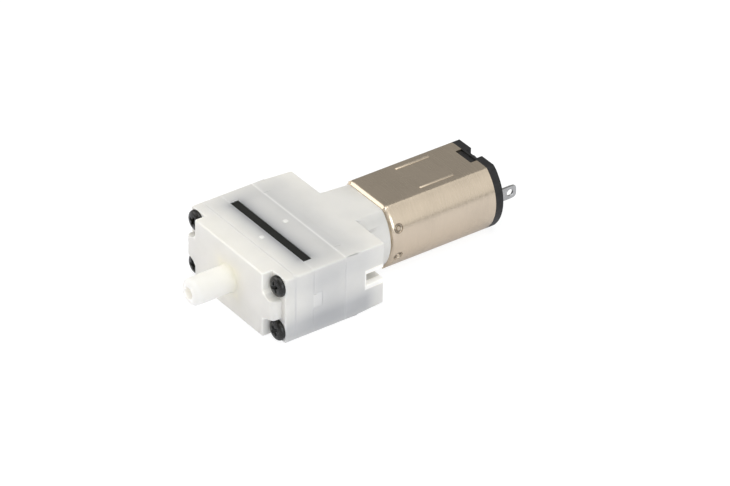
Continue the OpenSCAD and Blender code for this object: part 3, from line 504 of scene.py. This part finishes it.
def inner_shadow(tree, place):
    """How much painted shade darkens the plastic over the flange, the hollows and the screws."""
    folded = put(tree, "ShaderNodeVectorMath", {0: place}, operation="ABSOLUTE").outputs[0]
    across = put(tree, "ShaderNodeVectorMath", {0: place, 1: (-1, 1, 1)}, operation="MULTIPLY").outputs[0]
    across = put(tree, "ShaderNodeVectorMath", {0: place, 1: across}, operation="MAXIMUM").outputs[0]
    # Each row holds the point, the centre and half size of what is hidden, its reach and the depth of its
    # painted shade
    hidden = {
        "flange": (place, (0, PLATE_SEAM + FLANGE_T / 2 - 0.1, 0), FLANGE_HALF, 1.45, 0.54),
        "rocker_arms": (place, (0, 15.0, 0), (8.8, 0.8, 4.2), 2.4, 0.38),
        "cup_mouths": (place, (0, 10.0, 0), (11.6, 1.0, 3.2), 1.6, 0.25),
        "frame_step": (place, (0, 13.9, 0), (8.4, 0.3, 5.6), 0.7, 0.1),
        "holder_hollow": (place, (0, 24.5, 0), (5.5, 2.5, 4.5), 2.0, 0.14),
        "upper_shafts": (folded, (SCREW_X, SHAFT_Y, SCREW_Z), SHAFT_HALF, 0.9, 0.2),
        # The lower shafts' painted shade is deeper: it also stands for the shade on the underside
        "lower_shafts": (across, (SCREW_X, SHAFT_Y, -SCREW_Z), SHAFT_HALF, 1.1, 0.56),
    }
    dark = 0.0
    for point, centre, half, reach, depth in hidden.values():
        dark = reckon(tree, "MULTIPLY_ADD", nearness(tree, point, centre, half, reach), depth, dark)
    return dark


# %% Painted light on seams and thin places
SIDE_FROM = 12.8
SIDE_TO = 13.2
SIDE_SHARE = 0.3


def painted_seam_light(tree, place, near, far):
    """Painted light on the seams between the layers: strongest at the frame's seam, weaker on the thick
    sides.
    """
    parts = put(tree, "ShaderNodeSeparateXYZ", {0: place}).outputs
    light = None
    for seam, share in ((COVER_SEAM, 0.5), (PLATE_SEAM, 0.5), (FRAME_SEAM, 1.0)):
        off = reckon(tree, "ABSOLUTE", reckon(tree, "SUBTRACT", parts["Y"], seam))
        band = ramp(tree, off, near, far, share, 0.0)
        light = band if light is None else reckon(tree, "MAXIMUM", light, band)
    off_sides = ramp(tree, reckon(tree, "ABSOLUTE", parts["X"]), SIDE_FROM, SIDE_TO, 1.0, SIDE_SHARE)
    return reckon(tree, "MULTIPLY", light, off_sides)


MARKS = ((0.85, COVER_SEAM + 2, 6.1), (-0.85, PLATE_SEAM + 4.3, 6.1))
MARK_HALF = (0.42, 0.42, 0.06)
# The moulding marks get a painted glint, as emission
MARK_PAINTED_GLINT = 0.2
SEAM_PAINTED_GLOW = 0.09


def marks(tree, place):
    """1 on the two polished moulding marks of the upper face."""
    both = [nearness(tree, place, mark, MARK_HALF, 0.03) for mark in MARKS]
    return reckon(tree, "MAXIMUM", *both)


def painted_glow(tree, place):
    """How much painted glow the plastic gets: a glint on the moulding marks, and light on the seams,
    recesses, tabs, slots and nozzle.
    """
    folded = put(tree, "ShaderNodeVectorMath", {0: place}, operation="ABSOLUTE").outputs[0]
    light = reckon(tree, "MULTIPLY", marks(tree, place), MARK_PAINTED_GLINT)
    light = reckon(tree, "MULTIPLY_ADD", painted_seam_light(tree, place, 0.02, 0.12), SEAM_PAINTED_GLOW, light)
    # Each row holds the point, the centre and half size of the place that is painted light, its reach and its
    # strength
    thin = {
        "recesses": (folded, (SCREW_X, 0.9, SCREW_Z), (1.9, 0.9, 1.75), 0.15, 0.17),
        "side_tabs": (folded, (13.3, 8.2, 0), (0.5, 0.8, 1.25), 0.03, 0.05),
        "side_slots": (folded, (12.8, 19.5, 0.4), (0.9, 1.9, 1.35), 0.1, 0.28),
        "nozzle_tip": (place, (0, -7.7, 0), (2.4, 0.1, 2.4), 0.3, 0.03),
        "nozzle_bore": (place, (0, -4.2, 0), (0.9, 3.6, 0.9), 0.25, 0.15),
    }
    for point, centre, half, reach, height in thin.values():
        light = reckon(tree, "MULTIPLY_ADD", nearness(tree, point, centre, half, reach), height, light)
    return light


# %% Build the milky plastic
RESIN = (0.872, 0.848, 0.787, 1)
CREAM = (0.885, 0.86, 0.8, 1)
PAINTED_SHADE_TINT = (0.9, 0.96, 1.12)
PAINTED_GLOW_TINT = (1.0, 0.98, 0.94)
ROOT_PAINTED_WARMTH = (1.02, 1.0, 0.92)
MARK_POLISH = -0.24
SEAM_PAINTED_LIGHT = 0.13
ROOT_PAINTED_LIGHT = 0.06
SKIN_RELIEF = 0.004 * MM
SKIN = {"Patch": 3.5, "Depth": 0.03, "Roughness": 0.36, "Spread": 0.08, "Grain": 0.25}


def milky_finish(name, scatter):
    """The resin of the head; scatter is how far light spreads under its skin, in mm."""
    material = bpy.data.materials.new(name)
    material.use_nodes = True
    tree = material.node_tree
    shader = tree.nodes["Principled BSDF"]
    shader.inputs["Subsurface Weight"].default_value = 1
    shader.inputs["Subsurface Radius"].default_value = (1, 1, 0.95)
    shader.inputs["Subsurface Scale"].default_value = scatter * MM
    place = millimetres(tree)
    along = put(tree, "ShaderNodeSeparateXYZ", {0: place}).outputs["Y"]
    on_nozzle = ramp(tree, along, -2.0, 0.3, 1.0, 0.0)
    resin = put(tree, "ShaderNodeMix", {"Factor": on_nozzle}, data_type="RGBA")
    resin.inputs[6].default_value = RESIN
    resin.inputs[7].default_value = CREAM
    cloud = put(tree, "ShaderNodeGroup", node_tree=PATCHES)
    tree.links.new(place, cloud.inputs["Place"])
    tree.links.new(resin.outputs[2], cloud.inputs["Colour"])
    for label, value in SKIN.items():
        cloud.inputs[label].default_value = value
    dark = inner_shadow(tree, place)
    # Round the nozzle's root the corner's shade is painted over: the colour is lighter and warmer there
    root = nearness(tree, place, (0, 0, 0), (2.3, 0.1, 2.3), 1.2)
    lift = reckon(tree, "MULTIPLY", root, ROOT_PAINTED_LIGHT)
    # The seams are painted lighter as well
    lift = reckon(tree, "MULTIPLY_ADD", painted_seam_light(tree, place, 0.05, 0.4), SEAM_PAINTED_LIGHT, lift)
    kept = reckon(tree, "ADD", reckon(tree, "SUBTRACT", 1.0, dark), lift)
    tone = {0: cloud.outputs["Colour"], "Scale": kept}
    toned = put(tree, "ShaderNodeVectorMath", tone, operation="SCALE")
    # The painted shade turns cooler where it is deepest
    shade_tinted = put(tree, "ShaderNodeVectorMath", {0: toned.outputs[0], 1: PAINTED_SHADE_TINT}, operation="MULTIPLY")
    colour = put(tree, "ShaderNodeMix", {0: dark}, data_type="VECTOR")
    tree.links.new(toned.outputs[0], colour.inputs[4])
    tree.links.new(shade_tinted.outputs[0], colour.inputs[5])
    warm = put(tree, "ShaderNodeVectorMath", {0: colour.outputs[1], 1: ROOT_PAINTED_WARMTH}, operation="MULTIPLY")
    painted_root_tint = put(tree, "ShaderNodeMix", {0: root}, data_type="VECTOR")
    tree.links.new(colour.outputs[1], painted_root_tint.inputs[4])
    tree.links.new(warm.outputs[0], painted_root_tint.inputs[5])
    tree.links.new(painted_root_tint.outputs[1], shader.inputs["Base Color"])
    rough = reckon(tree, "MULTIPLY_ADD", marks(tree, place), MARK_POLISH, cloud.outputs["Roughness"])
    tree.links.new(rough, shader.inputs["Roughness"])
    # The painted glow goes in as emission
    light = painted_glow(tree, place)
    through = put(tree, "ShaderNodeVectorMath", {0: PAINTED_GLOW_TINT, "Scale": light}, operation="SCALE")
    tree.links.new(through.outputs[0], shader.inputs["Emission Color"])
    shader.inputs["Emission Strength"].default_value = 1
    relief = put(tree, "ShaderNodeBump", {"Height": cloud.outputs["Height"], "Distance": SKIN_RELIEF})
    tree.links.new(relief.outputs[0], shader.inputs["Normal"])
    print(name, "has", len(tree.nodes), "nodes")
    return material


FINISHES["milky_plastic"] = milky_finish("milky_plastic", scatter=0.4)
NOZZLE_FINISH = milky_finish("milky_nozzle", scatter=1.8)

# %% [markdown]
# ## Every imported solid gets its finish
# The record says which material slot each solid belongs to, and each slot has one finish above. So the
# solids that stay as they are, most of them inside the pump, are painted in one loop.

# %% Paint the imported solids
for row in frame["record"]["subparts"]:
    data = NODES[row["node"]].data
    data.materials.clear()
    data.materials.append(FINISHES[row["material_slot"]])

# %% [markdown]
# ## Softer edges
# No moulded edge is perfectly sharp: the mould's corners and the polishing leave a small radius, and the
# thin line of light on it is what makes a solid look real. The solids are copied and their loose triangles
# joined. Then only the outer edges are picked by their place and bevelled: narrow at the seams, where two
# layers meet flush, and wider on free rims. The plate's locating tabs are drawn a touch larger as well.


# %% Helpers for copies and bevels
def only(*pieces):
    """Deselects everything, then selects these, with the first one active."""
    bpy.ops.object.select_all(action="DESELECT")
    for piece in pieces:
        piece.select_set(True)
    bpy.context.view_layer.objects.active = pieces[0]


def welded_copy(node, name):
    """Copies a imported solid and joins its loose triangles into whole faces."""
    only(NODES[node])
    bpy.ops.object.duplicate()
    piece = bpy.context.object
    piece.name = name
    piece.data.name = name
    del piece["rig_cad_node"]
    bpy.ops.object.mode_set(mode="EDIT")
    bpy.ops.mesh.select_mode(type="VERT")
    bpy.ops.mesh.select_all(action="SELECT")
    bpy.ops.mesh.remove_doubles(threshold=0.001 * MM)
    bpy.ops.mesh.dissolve_limited(angle_limit=math.radians(0.5))
    bpy.ops.object.mode_set(mode="OBJECT")
    return piece


def pick_edges(piece, wanted, least_angle, outward):
    """In edit mode, selects the sharp edges whose middle, in mm, passes the test."""
    bpy.ops.mesh.select_mode(type="EDGE")
    bpy.ops.mesh.select_all(action="DESELECT")
    mesh = bmesh.from_edit_mesh(piece.data)
    picked = 0
    for edge in mesh.edges:
        if len(edge.link_faces) != 2 or edge.is_convex != outward:
            continue
        if edge.calc_face_angle() < math.radians(least_angle):
            continue
        middle = (edge.verts[0].co + edge.verts[1].co) / 2 / MM
        if wanted(middle.x, middle.y, middle.z):
            edge.select_set(True)
            picked += 1
    bmesh.update_edit_mesh(piece.data)
    return picked


def soften(piece, width, wanted, segments=3, least_angle=25, outward=True):
    """Bevels the outward or inward edges that pass the test; the width is in mm."""
    only(piece)
    bpy.ops.object.mode_set(mode="EDIT")
    picked = pick_edges(piece, wanted, least_angle, outward)
    if picked:
        bpy.ops.mesh.bevel(
            offset=width * MM, segments=segments, profile=0.5, affect="EDGES", clamp_overlap=False)
    bpy.ops.object.mode_set(mode="OBJECT")
    return picked


def squeeze(piece, factors, centre, wanted):
    """Scales the vertices that pass the test towards a point; place and centre are in mm."""
    only(piece)
    bpy.ops.object.mode_set(mode="EDIT")
    bpy.ops.mesh.select_mode(type="VERT")
    bpy.ops.mesh.select_all(action="DESELECT")
    mesh = bmesh.from_edit_mesh(piece.data)
    for vertex in mesh.verts:
        vertex.select_set(wanted(*(vertex.co / MM)))
    mesh.select_flush(True)
    bmesh.update_edit_mesh(piece.data)
    bpy.ops.transform.resize(value=factors, center_override=Vector(centre) * MM)
    bpy.ops.object.mode_set(mode="OBJECT")


def smooth(piece, angle=35):
    """Shades round places softly and keeps large faces flat."""
    only(piece)
    bpy.ops.object.shade_smooth_by_angle(angle=math.radians(angle))
    bpy.ops.object.modifier_add(type="WEIGHTED_NORMAL")
    piece.modifiers[-1].keep_sharp = True
    bpy.ops.object.modifier_apply(modifier=piece.modifiers[-1].name)


def settle(piece, slot, nodes, body="housing"):
    """Gives a finished piece soft shading, its finish and its body, and hides the solids that it stands for.
    """
    smooth(piece)
    piece.data.materials.clear()
    piece.data.materials.append(FINISHES[slot])
    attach(piece, body)
    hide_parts(*nodes)
    print(piece.name, "has", len(piece.data.polygons), "faces")


# %% Valve plate and diaphragm frame
HEAD_X = plate_high.x / MM
HEAD_Z = 6.0
MARK_Z = HEAD_Z + 0.05
MARK_BEVEL = 0.08
SEAM_BEVEL = 0.02
SIDE_TAB_X = 12.2
SIDE_TAB_Z = 1.4
TAB_GROWTH = (1, 1.028, 1.036)


def on_skin(x, z, depth=0.35):
    """True near the head's sides, top or underside."""
    return abs(x) > HEAD_X - depth or abs(z) > HEAD_Z - depth


def in_tab(x, z):
    """True on the locating tabs, in the middle of the sides."""
    return abs(x) > SIDE_TAB_X and abs(z) < SIDE_TAB_Z


def on_mark(x, y, z):
    """True on the moulding marks, which stand out of the upper face."""
    return z > MARK_Z


def on_rim(x, y, z):
    """True on the outer edges of a flat layer."""
    return on_skin(x, z) and z < MARK_Z and not in_tab(x, z)


plate = welded_copy("valve_plate", "plate_moulding")
squeeze(plate, TAB_GROWTH, (0, PLATE_SEAM, 0), lambda x, y, z: y > PLATE_SEAM + 0.1 and in_tab(x, z))
soften(plate, MARK_BEVEL, on_mark, 4)
soften(plate, SEAM_BEVEL, on_rim)
settle(plate, "milky_plastic", ["valve_plate"])

ring = welded_copy("diaphragm_frame", "frame_moulding")
soften(ring, MARK_BEVEL, on_mark, 4)
soften(ring, SEAM_BEVEL, on_rim)
settle(ring, "milky_plastic", ["diaphragm_frame"])

# %% [markdown]
# ## Front cover
# The cover carries the hose nozzle, and round recesses at its corners make room for the screw heads. Its
# front rims are the nearest edges to the camera and touch no other layer, so they get a wider radius than
# the seams. The nozzle is open to light all round, so its faces get a finish that scatters light further.

# %% Make the front cover
COVER_BEVEL = 0.2
ROOT_BEVEL = 0.35
NOZZLE_R = 2.35
HOLE_R = 1.3
CHAMBER_X = 11.3
CHAMBER_Y = 1.95
CHAMBER_Z = 5.2
VENT_Y = 2.9
VENT_R = 0.6
cover = welded_copy("front_cover", "cover_moulding")


def in_cover(x, y, z):
    """True on the outside of the cover, away from the screw holes, the bore and the chambers."""
    at_screw = math.hypot(abs(x) - SCREW_X, abs(z) - SCREW_Z) < HOLE_R
    inside = y > CHAMBER_Y and abs(x) < CHAMBER_X and abs(z) < CHAMBER_Z
    vent = math.hypot(x, y - VENT_Y) < VENT_R and z < 0
    return not (at_screw or inside or vent or math.hypot(x, z) < NOZZLE_R + 0.15)


def at_root(x, y, z):
    """True in the corner between the nozzle and the cover's front face."""
    return abs(y) < 0.05 and abs(math.hypot(x, z) - NOZZLE_R) < 0.15


seam_edges = soften(cover, SEAM_BEVEL, lambda x, y, z: in_cover(x, y, z) and y > COVER_SEAM - 0.02)
rim_edges = soften(cover, COVER_BEVEL, lambda x, y, z: in_cover(x, y, z) and y < COVER_SEAM - 0.3, 4)
root_edges = soften(cover, ROOT_BEVEL, at_root, 4, 60, outward=False)
print("cover edges:", seam_edges, "at the seam,", rim_edges, "on rims,", root_edges, "at the nozzle")
settle(cover, "milky_plastic", ["front_cover"])
cover.data.materials.append(NOZZLE_FINISH)
nozzle_faces = 0
for face in cover.data.polygons:
    if face.center.y < -0.3 * MM:
        face.material_index = 1
        nozzle_faces += 1
print("nozzle faces:", nozzle_faces)

# %% [markdown]
# ## Crankcase
# The last moulding narrows slightly to the back, as moulded parts do so that they leave the mould, and ends
# in the round-sided holder of the motor. The slots between its screw bosses are cored out from the back.
# Its seam with the frame stays crisp, and its free edges are rounded, most of all along the holder.

# %% Make the crankcase
CASE_BACK = case_high.y / MM
BEHIND_BLOCK = 21.4
HOLDER_R = 6.5
TONGUE_X = 10.5
TONGUE_L = 1.6
SLOT_X = 12.4
SLOT_Y = 17.5
BLOCK_BEVEL = 0.14
HOLDER_BEVEL = 0.3
BACK_BEVEL = 0.08
case = welded_copy("crankcase", "crankcase_moulding")


def on_block(x, y, z):
    """True on the outside of the crankcase block, or in its side slots."""
    in_slot = abs(x) > SLOT_X and y > SLOT_Y
    return y < BEHIND_BLOCK and (on_skin(x, z, 0.75) or in_slot)


def at_seam(x, y):
    """True in the seam with the frame, and round the frame's tongue."""
    return y < FRAME_SEAM + 0.02 or (y < FRAME_SEAM + TONGUE_L and abs(x) < TONGUE_X)


def on_holder(x, y, z):
    """True on the outside of the motor holder."""
    return y > BEHIND_BLOCK + 0.2 and math.hypot(x, z) > HOLDER_R


soften(case, SEAM_BEVEL, lambda x, y, z: on_block(x, y, z) and at_seam(x, y))
soften(case, BLOCK_BEVEL, lambda x, y, z: on_block(x, y, z) and not at_seam(x, y), 4)
soften(case, HOLDER_BEVEL, lambda x, y, z: on_holder(x, y, z) and y < CASE_BACK - 0.4, 4)
soften(case, BACK_BEVEL, lambda x, y, z: on_holder(x, y, z) and y > CASE_BACK - 0.02)
settle(case, "milky_plastic", ["crankcase"])

# %% [markdown]
# ## Rubber diaphragm
# Only the edge of the clamped flange shows, as a black bar across the top. Punched rubber has a slightly
# rolled edge, so the bar's long edges are rounded more than the plastic round it.

# %% Make the diaphragm
RUBBER_BEVEL = 0.14
rubber = welded_copy("diaphragm", "rubber_membrane")
soften(rubber, RUBBER_BEVEL, lambda x, y, z: abs(z) > 5.8 or abs(x) > 10.2, 4)
settle(rubber, "black_rubber", ["diaphragm"])

# %% [markdown]
# ## Housing screws
# Four pan-head screws with a cross recess hold the layers together. A turned shape like this is drawn as
# half of its outline, point by point, and spun round its axis, which gives head and shank in one go.


# %% Helpers for spun shapes and cuts
def spun(name, outline, steps, x=0.0, z=0.0):
    """Draws an outline of (radius, y) points in mm and spins it round a line along Y."""
    bpy.ops.object.select_all(action="DESELECT")
    bpy.ops.mesh.primitive_plane_add(size=MM, location=(0, 0, 0))
    piece = bpy.context.object
    piece.name = name
    piece.data.name = name
    bpy.ops.object.mode_set(mode="EDIT")
    bpy.ops.mesh.select_mode(type="VERT")
    bpy.ops.mesh.select_all(action="SELECT")
    bpy.ops.mesh.merge(type="CENTER")
    bpy.ops.mesh.select_all(action="SELECT")
    bpy.ops.transform.translate(value=Vector((x + outline[0][0], outline[0][1], z)) * MM)
    for (r_from, y_from), (r_to, y_to) in zip(outline, outline[1:]):
        step = Vector((r_to - r_from, y_to - y_from, 0)) * MM
        bpy.ops.mesh.extrude_vertices_move(TRANSFORM_OT_translate={"value": step})
    bpy.ops.mesh.select_all(action="SELECT")
    bpy.ops.mesh.spin(steps=steps, angle=2 * math.pi, center=Vector((x, 0, z)) * MM, axis=(0, 1, 0))
    bpy.ops.mesh.select_all(action="SELECT")
    bpy.ops.mesh.remove_doubles(threshold=0.001 * MM)
    bpy.ops.mesh.normals_make_consistent(inside=False)
    bpy.ops.object.mode_set(mode="OBJECT")
    return piece


def place_mesh(piece):
    """Moves the object's place, turn and scale into its mesh."""
    only(piece)
    bpy.ops.object.transform_apply(location=True, rotation=True, scale=True)
    return piece


def carve(piece, tool, operation="DIFFERENCE"):
    """Cuts the tool out of the piece, or joins it on, and puts the tool away."""
    only(piece)
    bpy.ops.object.modifier_add(type="BOOLEAN")
    change = piece.modifiers[-1]
    change.operation = operation
    change.solver = "MANIFOLD"
    change.object = tool
    bpy.ops.object.modifier_apply(modifier=change.name)
    bpy.data.objects.remove(tool)


# %% [markdown]
# ## One screw
# The cross recess of a real screw is struck by a tapered punch. Here two tapered blocks at right angles cut
# it, and its rim is rounded a little, so that it catches light. Each screw has its own turn, since each
# stops at its own angle when it is driven home.

# %% Model a screw
SEAT_Y = 1.9
TIP_Y = screw_high.y / MM
SHANK_R = 0.98
FACE_Y = 0.9
RIM_R = 1.45
RECESS_DEPTH = 0.8
RECESS_L = 2.6
RECESS_W = 0.62
RECESS_BEVEL = 0.07
SCREW_STEPS = 64


def cross_blade(turn):
    """One tapered wing pair of the cross recess."""
    depth_mid = FACE_Y + RECESS_DEPTH / 2 - 0.25
    bpy.ops.object.select_all(action="DESELECT")
    bpy.ops.mesh.primitive_cube_add(
        size=MM, location=Vector((SCREW_X, depth_mid, SCREW_Z)) * MM,
        scale=(RECESS_L, RECESS_DEPTH + 0.5, RECESS_W))
    blade = place_mesh(bpy.context.object)
    squeeze(blade, (0.35, 1, 0.6), (SCREW_X, 0, SCREW_Z), lambda x, y, z: y > depth_mid)
    blade.matrix_world = (Matrix.Translation(Vector((SCREW_X, 0, SCREW_Z)) * MM)
                          @ Matrix.Rotation(turn, 4, "Y")
                          @ Matrix.Translation(Vector((-SCREW_X, 0, -SCREW_Z)) * MM))
    return place_mesh(blade)


def on_recess_rim(x, y, z):
    """True round the cross recess, on the face of the head."""
    return y < FACE_Y + 0.2 and math.hypot(x - SCREW_X, z - SCREW_Z) < RIM_R


def pan_screw(name, turn):
    """A whole screw at the upper right corner, with its recess turned by an angle."""
    dome = [(0, FACE_Y), (0.6, FACE_Y + 0.02), (1.1, FACE_Y + 0.08), (1.45, FACE_Y + 0.19)]
    side = [(1.68, FACE_Y + 0.36), (1.8, FACE_Y + 0.56), (HEAD_R, SEAT_Y - 0.12), (1.8, SEAT_Y)]
    shank = [(SHANK_R, SEAT_Y), (SHANK_R, TIP_Y - 0.5), (SHANK_R - 0.35, TIP_Y), (0, TIP_Y)]
    screw = spun(name, dome + side + shank, SCREW_STEPS, SCREW_X, SCREW_Z)
    for quarter in (0, math.pi / 2):
        carve(screw, cross_blade(turn + quarter))
    print(name, "recess rim edges:", soften(screw, RECESS_BEVEL, on_recess_rim, 2, 35))
    return screw


# %% Four screws
CORNERS = {
    "upper_right": (1, 1, 62),
    "upper_left": (-1, 1, 20),
    "lower_right": (1, -1, 50),
    "lower_left": (-1, -1, 75),
}
for corner, (side_x, side_z, degrees) in CORNERS.items():
    screw = pan_screw(corner + "_screw", math.radians(degrees))
    screw.location = Vector(((side_x - 1) * SCREW_X, 0, (side_z - 1) * SCREW_Z)) * MM
    place_mesh(screw)
    settle(screw, "black_screw", ["housing_screws"])

# %% [markdown]
# ## Motor can
# The can is deep-drawn from plated sheet: a tube with two flats, and round edges where the sheet was bent.
# It starts as a cylinder that is cut flat above and below. The long edges and the front edge are bevelled
# while the shape is still simple, since a bevel needs clean edges to follow.

# %% Draw the can
CAN_FRONT = 26.9
CAN_FLAT = 6.0
CAN_WALL = 0.5
CAN_FRONT_WALL = 0.8
CAN_BEND = 0.95
can_l = CAN_BACK - CAN_FRONT

bpy.ops.object.select_all(action="DESELECT")
bpy.ops.mesh.primitive_cylinder_add(
    vertices=128, radius=CAN_R * MM, depth=can_l * MM, location=(0, (CAN_FRONT + can_l / 2) * MM, 0),
    rotation=(math.pi / 2, 0, 0))
can = place_mesh(bpy.context.object)
can.name = "drawn_can"
can.data.name = "drawn_can"
bpy.ops.object.mode_set(mode="EDIT")
for side in (1, -1):
    bpy.ops.mesh.select_all(action="SELECT")
    bpy.ops.mesh.bisect(
        plane_co=(0, 0, side * CAN_FLAT * MM), plane_no=(0, 0, side), clear_outer=True, use_fill=True)
bpy.ops.object.mode_set(mode="OBJECT")
print("long edges:", soften(can, CAN_BEND, lambda x, y, z: CAN_FRONT + 1 < y < CAN_BACK - 1, 8))
print("front edges:", soften(can, CAN_BEND, lambda x, y, z: y < CAN_FRONT + 0.01, 8, 60))

# %% [markdown]
# ## Inside of the can
# The can holds the magnets and the armature, so it is hollow, with the thickness of its sheet. The back
# face is inset by that thickness and pushed in as far as the front wall, so the wall is even all round.

# %% Hollow the can
only(can)
bpy.ops.object.mode_set(mode="EDIT")
bpy.ops.mesh.select_mode(type="FACE")
bpy.ops.mesh.select_all(action="DESELECT")
mesh = bmesh.from_edit_mesh(can.data)
for face in mesh.faces:
    face.select_set(face.calc_center_median().y > (CAN_BACK - 0.01) * MM)
bmesh.update_edit_mesh(can.data)
bpy.ops.mesh.inset(thickness=CAN_WALL * MM)
bpy.ops.mesh.extrude_region_move(TRANSFORM_OT_translate={"value": (0, -(can_l - CAN_FRONT_WALL) * MM, 0)})
bpy.ops.object.mode_set(mode="OBJECT")
print("rear rim edges:", soften(can, 0.05, lambda x, y, z: y > CAN_BACK - 0.01, 2, 60))


# %% [markdown]
# ## Holes and stakes of the can
# The front wall carries the bearing in a raised boss, between the holes of two screws. Four ring-shaped
# stakes are struck into the round sides. Such a groove is the shape of a torus, so a torus is cut out of
# the surface at each place.


# %% Boss, holes and stakes
def rod_tool(radius, low, high, x=0.0):
    """A round bar along Y, to cut with or to join on."""
    bpy.ops.object.select_all(action="DESELECT")
    bpy.ops.mesh.primitive_cylinder_add(
        vertices=48, radius=radius * MM, depth=(high - low) * MM,
        location=(x * MM, (low + high) / 2 * MM, 0), rotation=(math.pi / 2, 0, 0))
    return place_mesh(bpy.context.object)


BOSS_R = 2.5
BEARING_R = 2.01
MOTOR_SCREW_X = 4.0
MOTOR_SCREW_R = 0.81
carve(can, rod_tool(BOSS_R, can_low.y / MM, CAN_FRONT + 0.4), "UNION")
carve(can, rod_tool(BEARING_R, can_low.y / MM - 0.5, CAN_FRONT + 1.5))
for side in (1, -1):
    carve(can, rod_tool(MOTOR_SCREW_R, CAN_FRONT - 0.5, CAN_FRONT + 1.5, side * MOTOR_SCREW_X))

for side in (1, -1):
    for up in (1, -1):
        angle = up * STAKE_ANGLE
        outward = Vector((side * math.cos(angle), 0, math.sin(angle)))
        bpy.ops.object.select_all(action="DESELECT")
        bpy.ops.mesh.primitive_torus_add(
            major_radius=STAKE_RING * MM, minor_radius=STAKE_GROOVE * MM,
            major_segments=40, minor_segments=14,
            location=outward * CAN_R * MM + Vector((0, STAKE_Y * MM, 0)),
            rotation=(0, math.atan2(outward.x, outward.z), 0))
        carve(can, place_mesh(bpy.context.object))
print("can has", len(can.data.polygons), "faces after its stakes")

# %% [markdown]
# ## Window and beads
# At the back of the upper flat, a window takes the tongue of the cap. In front of it, two narrow beads are
# pressed up to stiffen the flat. Each is a ball that is flattened, drawn out to its length by moving one
# half of it, and joined to the sheet.

# %% Cut the window and raise the beads
WINDOW_W = 4.2
WINDOW_L = 1.3
bpy.ops.object.select_all(action="DESELECT")
bpy.ops.mesh.primitive_cube_add(
    size=MM, location=(0, (CAN_BACK - WINDOW_L / 2 + 0.25) * MM, CAN_FLAT * MM),
    scale=(WINDOW_W, WINDOW_L + 0.5, 1.5))
window = place_mesh(bpy.context.object)
soften(window, 0.15, lambda x, y, z: abs(z - CAN_FLAT) < 0.1 and y < CAN_BACK - 1, 3, 60)
carve(can, window)

BEAD_H = 0.14
for side in (1, -1):
    bpy.ops.object.select_all(action="DESELECT")
    bead_start = BEAD_FROM + BEAD_W / 2
    bpy.ops.mesh.primitive_uv_sphere_add(
        segments=24, ring_count=12, radius=BEAD_W / 2 * MM,
        location=Vector((side * BEAD_DX / 2, bead_start, CAN_FLAT)) * MM, rotation=(math.pi / 2, 0, 0))
    bead = place_mesh(bpy.context.object)
    squeeze(bead, (1, 1, 2 * BEAD_H / BEAD_W), (0, 0, CAN_FLAT), lambda x, y, z: True)
    bpy.ops.object.mode_set(mode="EDIT")
    bpy.ops.mesh.select_all(action="DESELECT")
    mesh = bmesh.from_edit_mesh(bead.data)
    for vertex in mesh.verts:
        vertex.select_set(vertex.co.y > (bead_start + 0.01) * MM)
    mesh.select_flush(True)
    bmesh.update_edit_mesh(bead.data)
    bpy.ops.transform.translate(value=(0, (BEAD_L - BEAD_W) * MM, 0))
    bpy.ops.object.mode_set(mode="OBJECT")
    carve(can, bead, "UNION")
settle(can, "nickel_can", ["motor_can"])

# %% [markdown]
# ## End cap and solder tabs
# The cap closes the back of the motor and carries the rear bearing and two tabs stamped from tinned sheet.
# Their solids have the right shape already, so the copies only get softer edges.

# %% Make the cap and the tabs
TAB_X = 5.45
TAB_ROOT = 1.7
CAP_RIM_R = 5.6
CAP_BEVEL = 0.08
TAB_BEVEL = 0.1
cap = welded_copy("end_cap", "rear_cap")


def on_cap_rim(x, y, z):
    """True on the cap's outer edges, away from the slots of the tabs."""
    return y > CAN_BACK - 0.02 and math.hypot(x, z) > CAP_RIM_R and abs(abs(x) - TAB_X) > 0.4


soften(cap, CAP_BEVEL, on_cap_rim)
settle(cap, "black_plastic", ["end_cap"])
for side in ("left", "right"):
    tab = welded_copy(side + "_terminal", side + "_tab")
    soften(tab, TAB_BEVEL, lambda x, y, z: y > CAN_BACK + TAB_ROOT, 3)
    settle(tab, "tinned_tab", [side + "_terminal"])
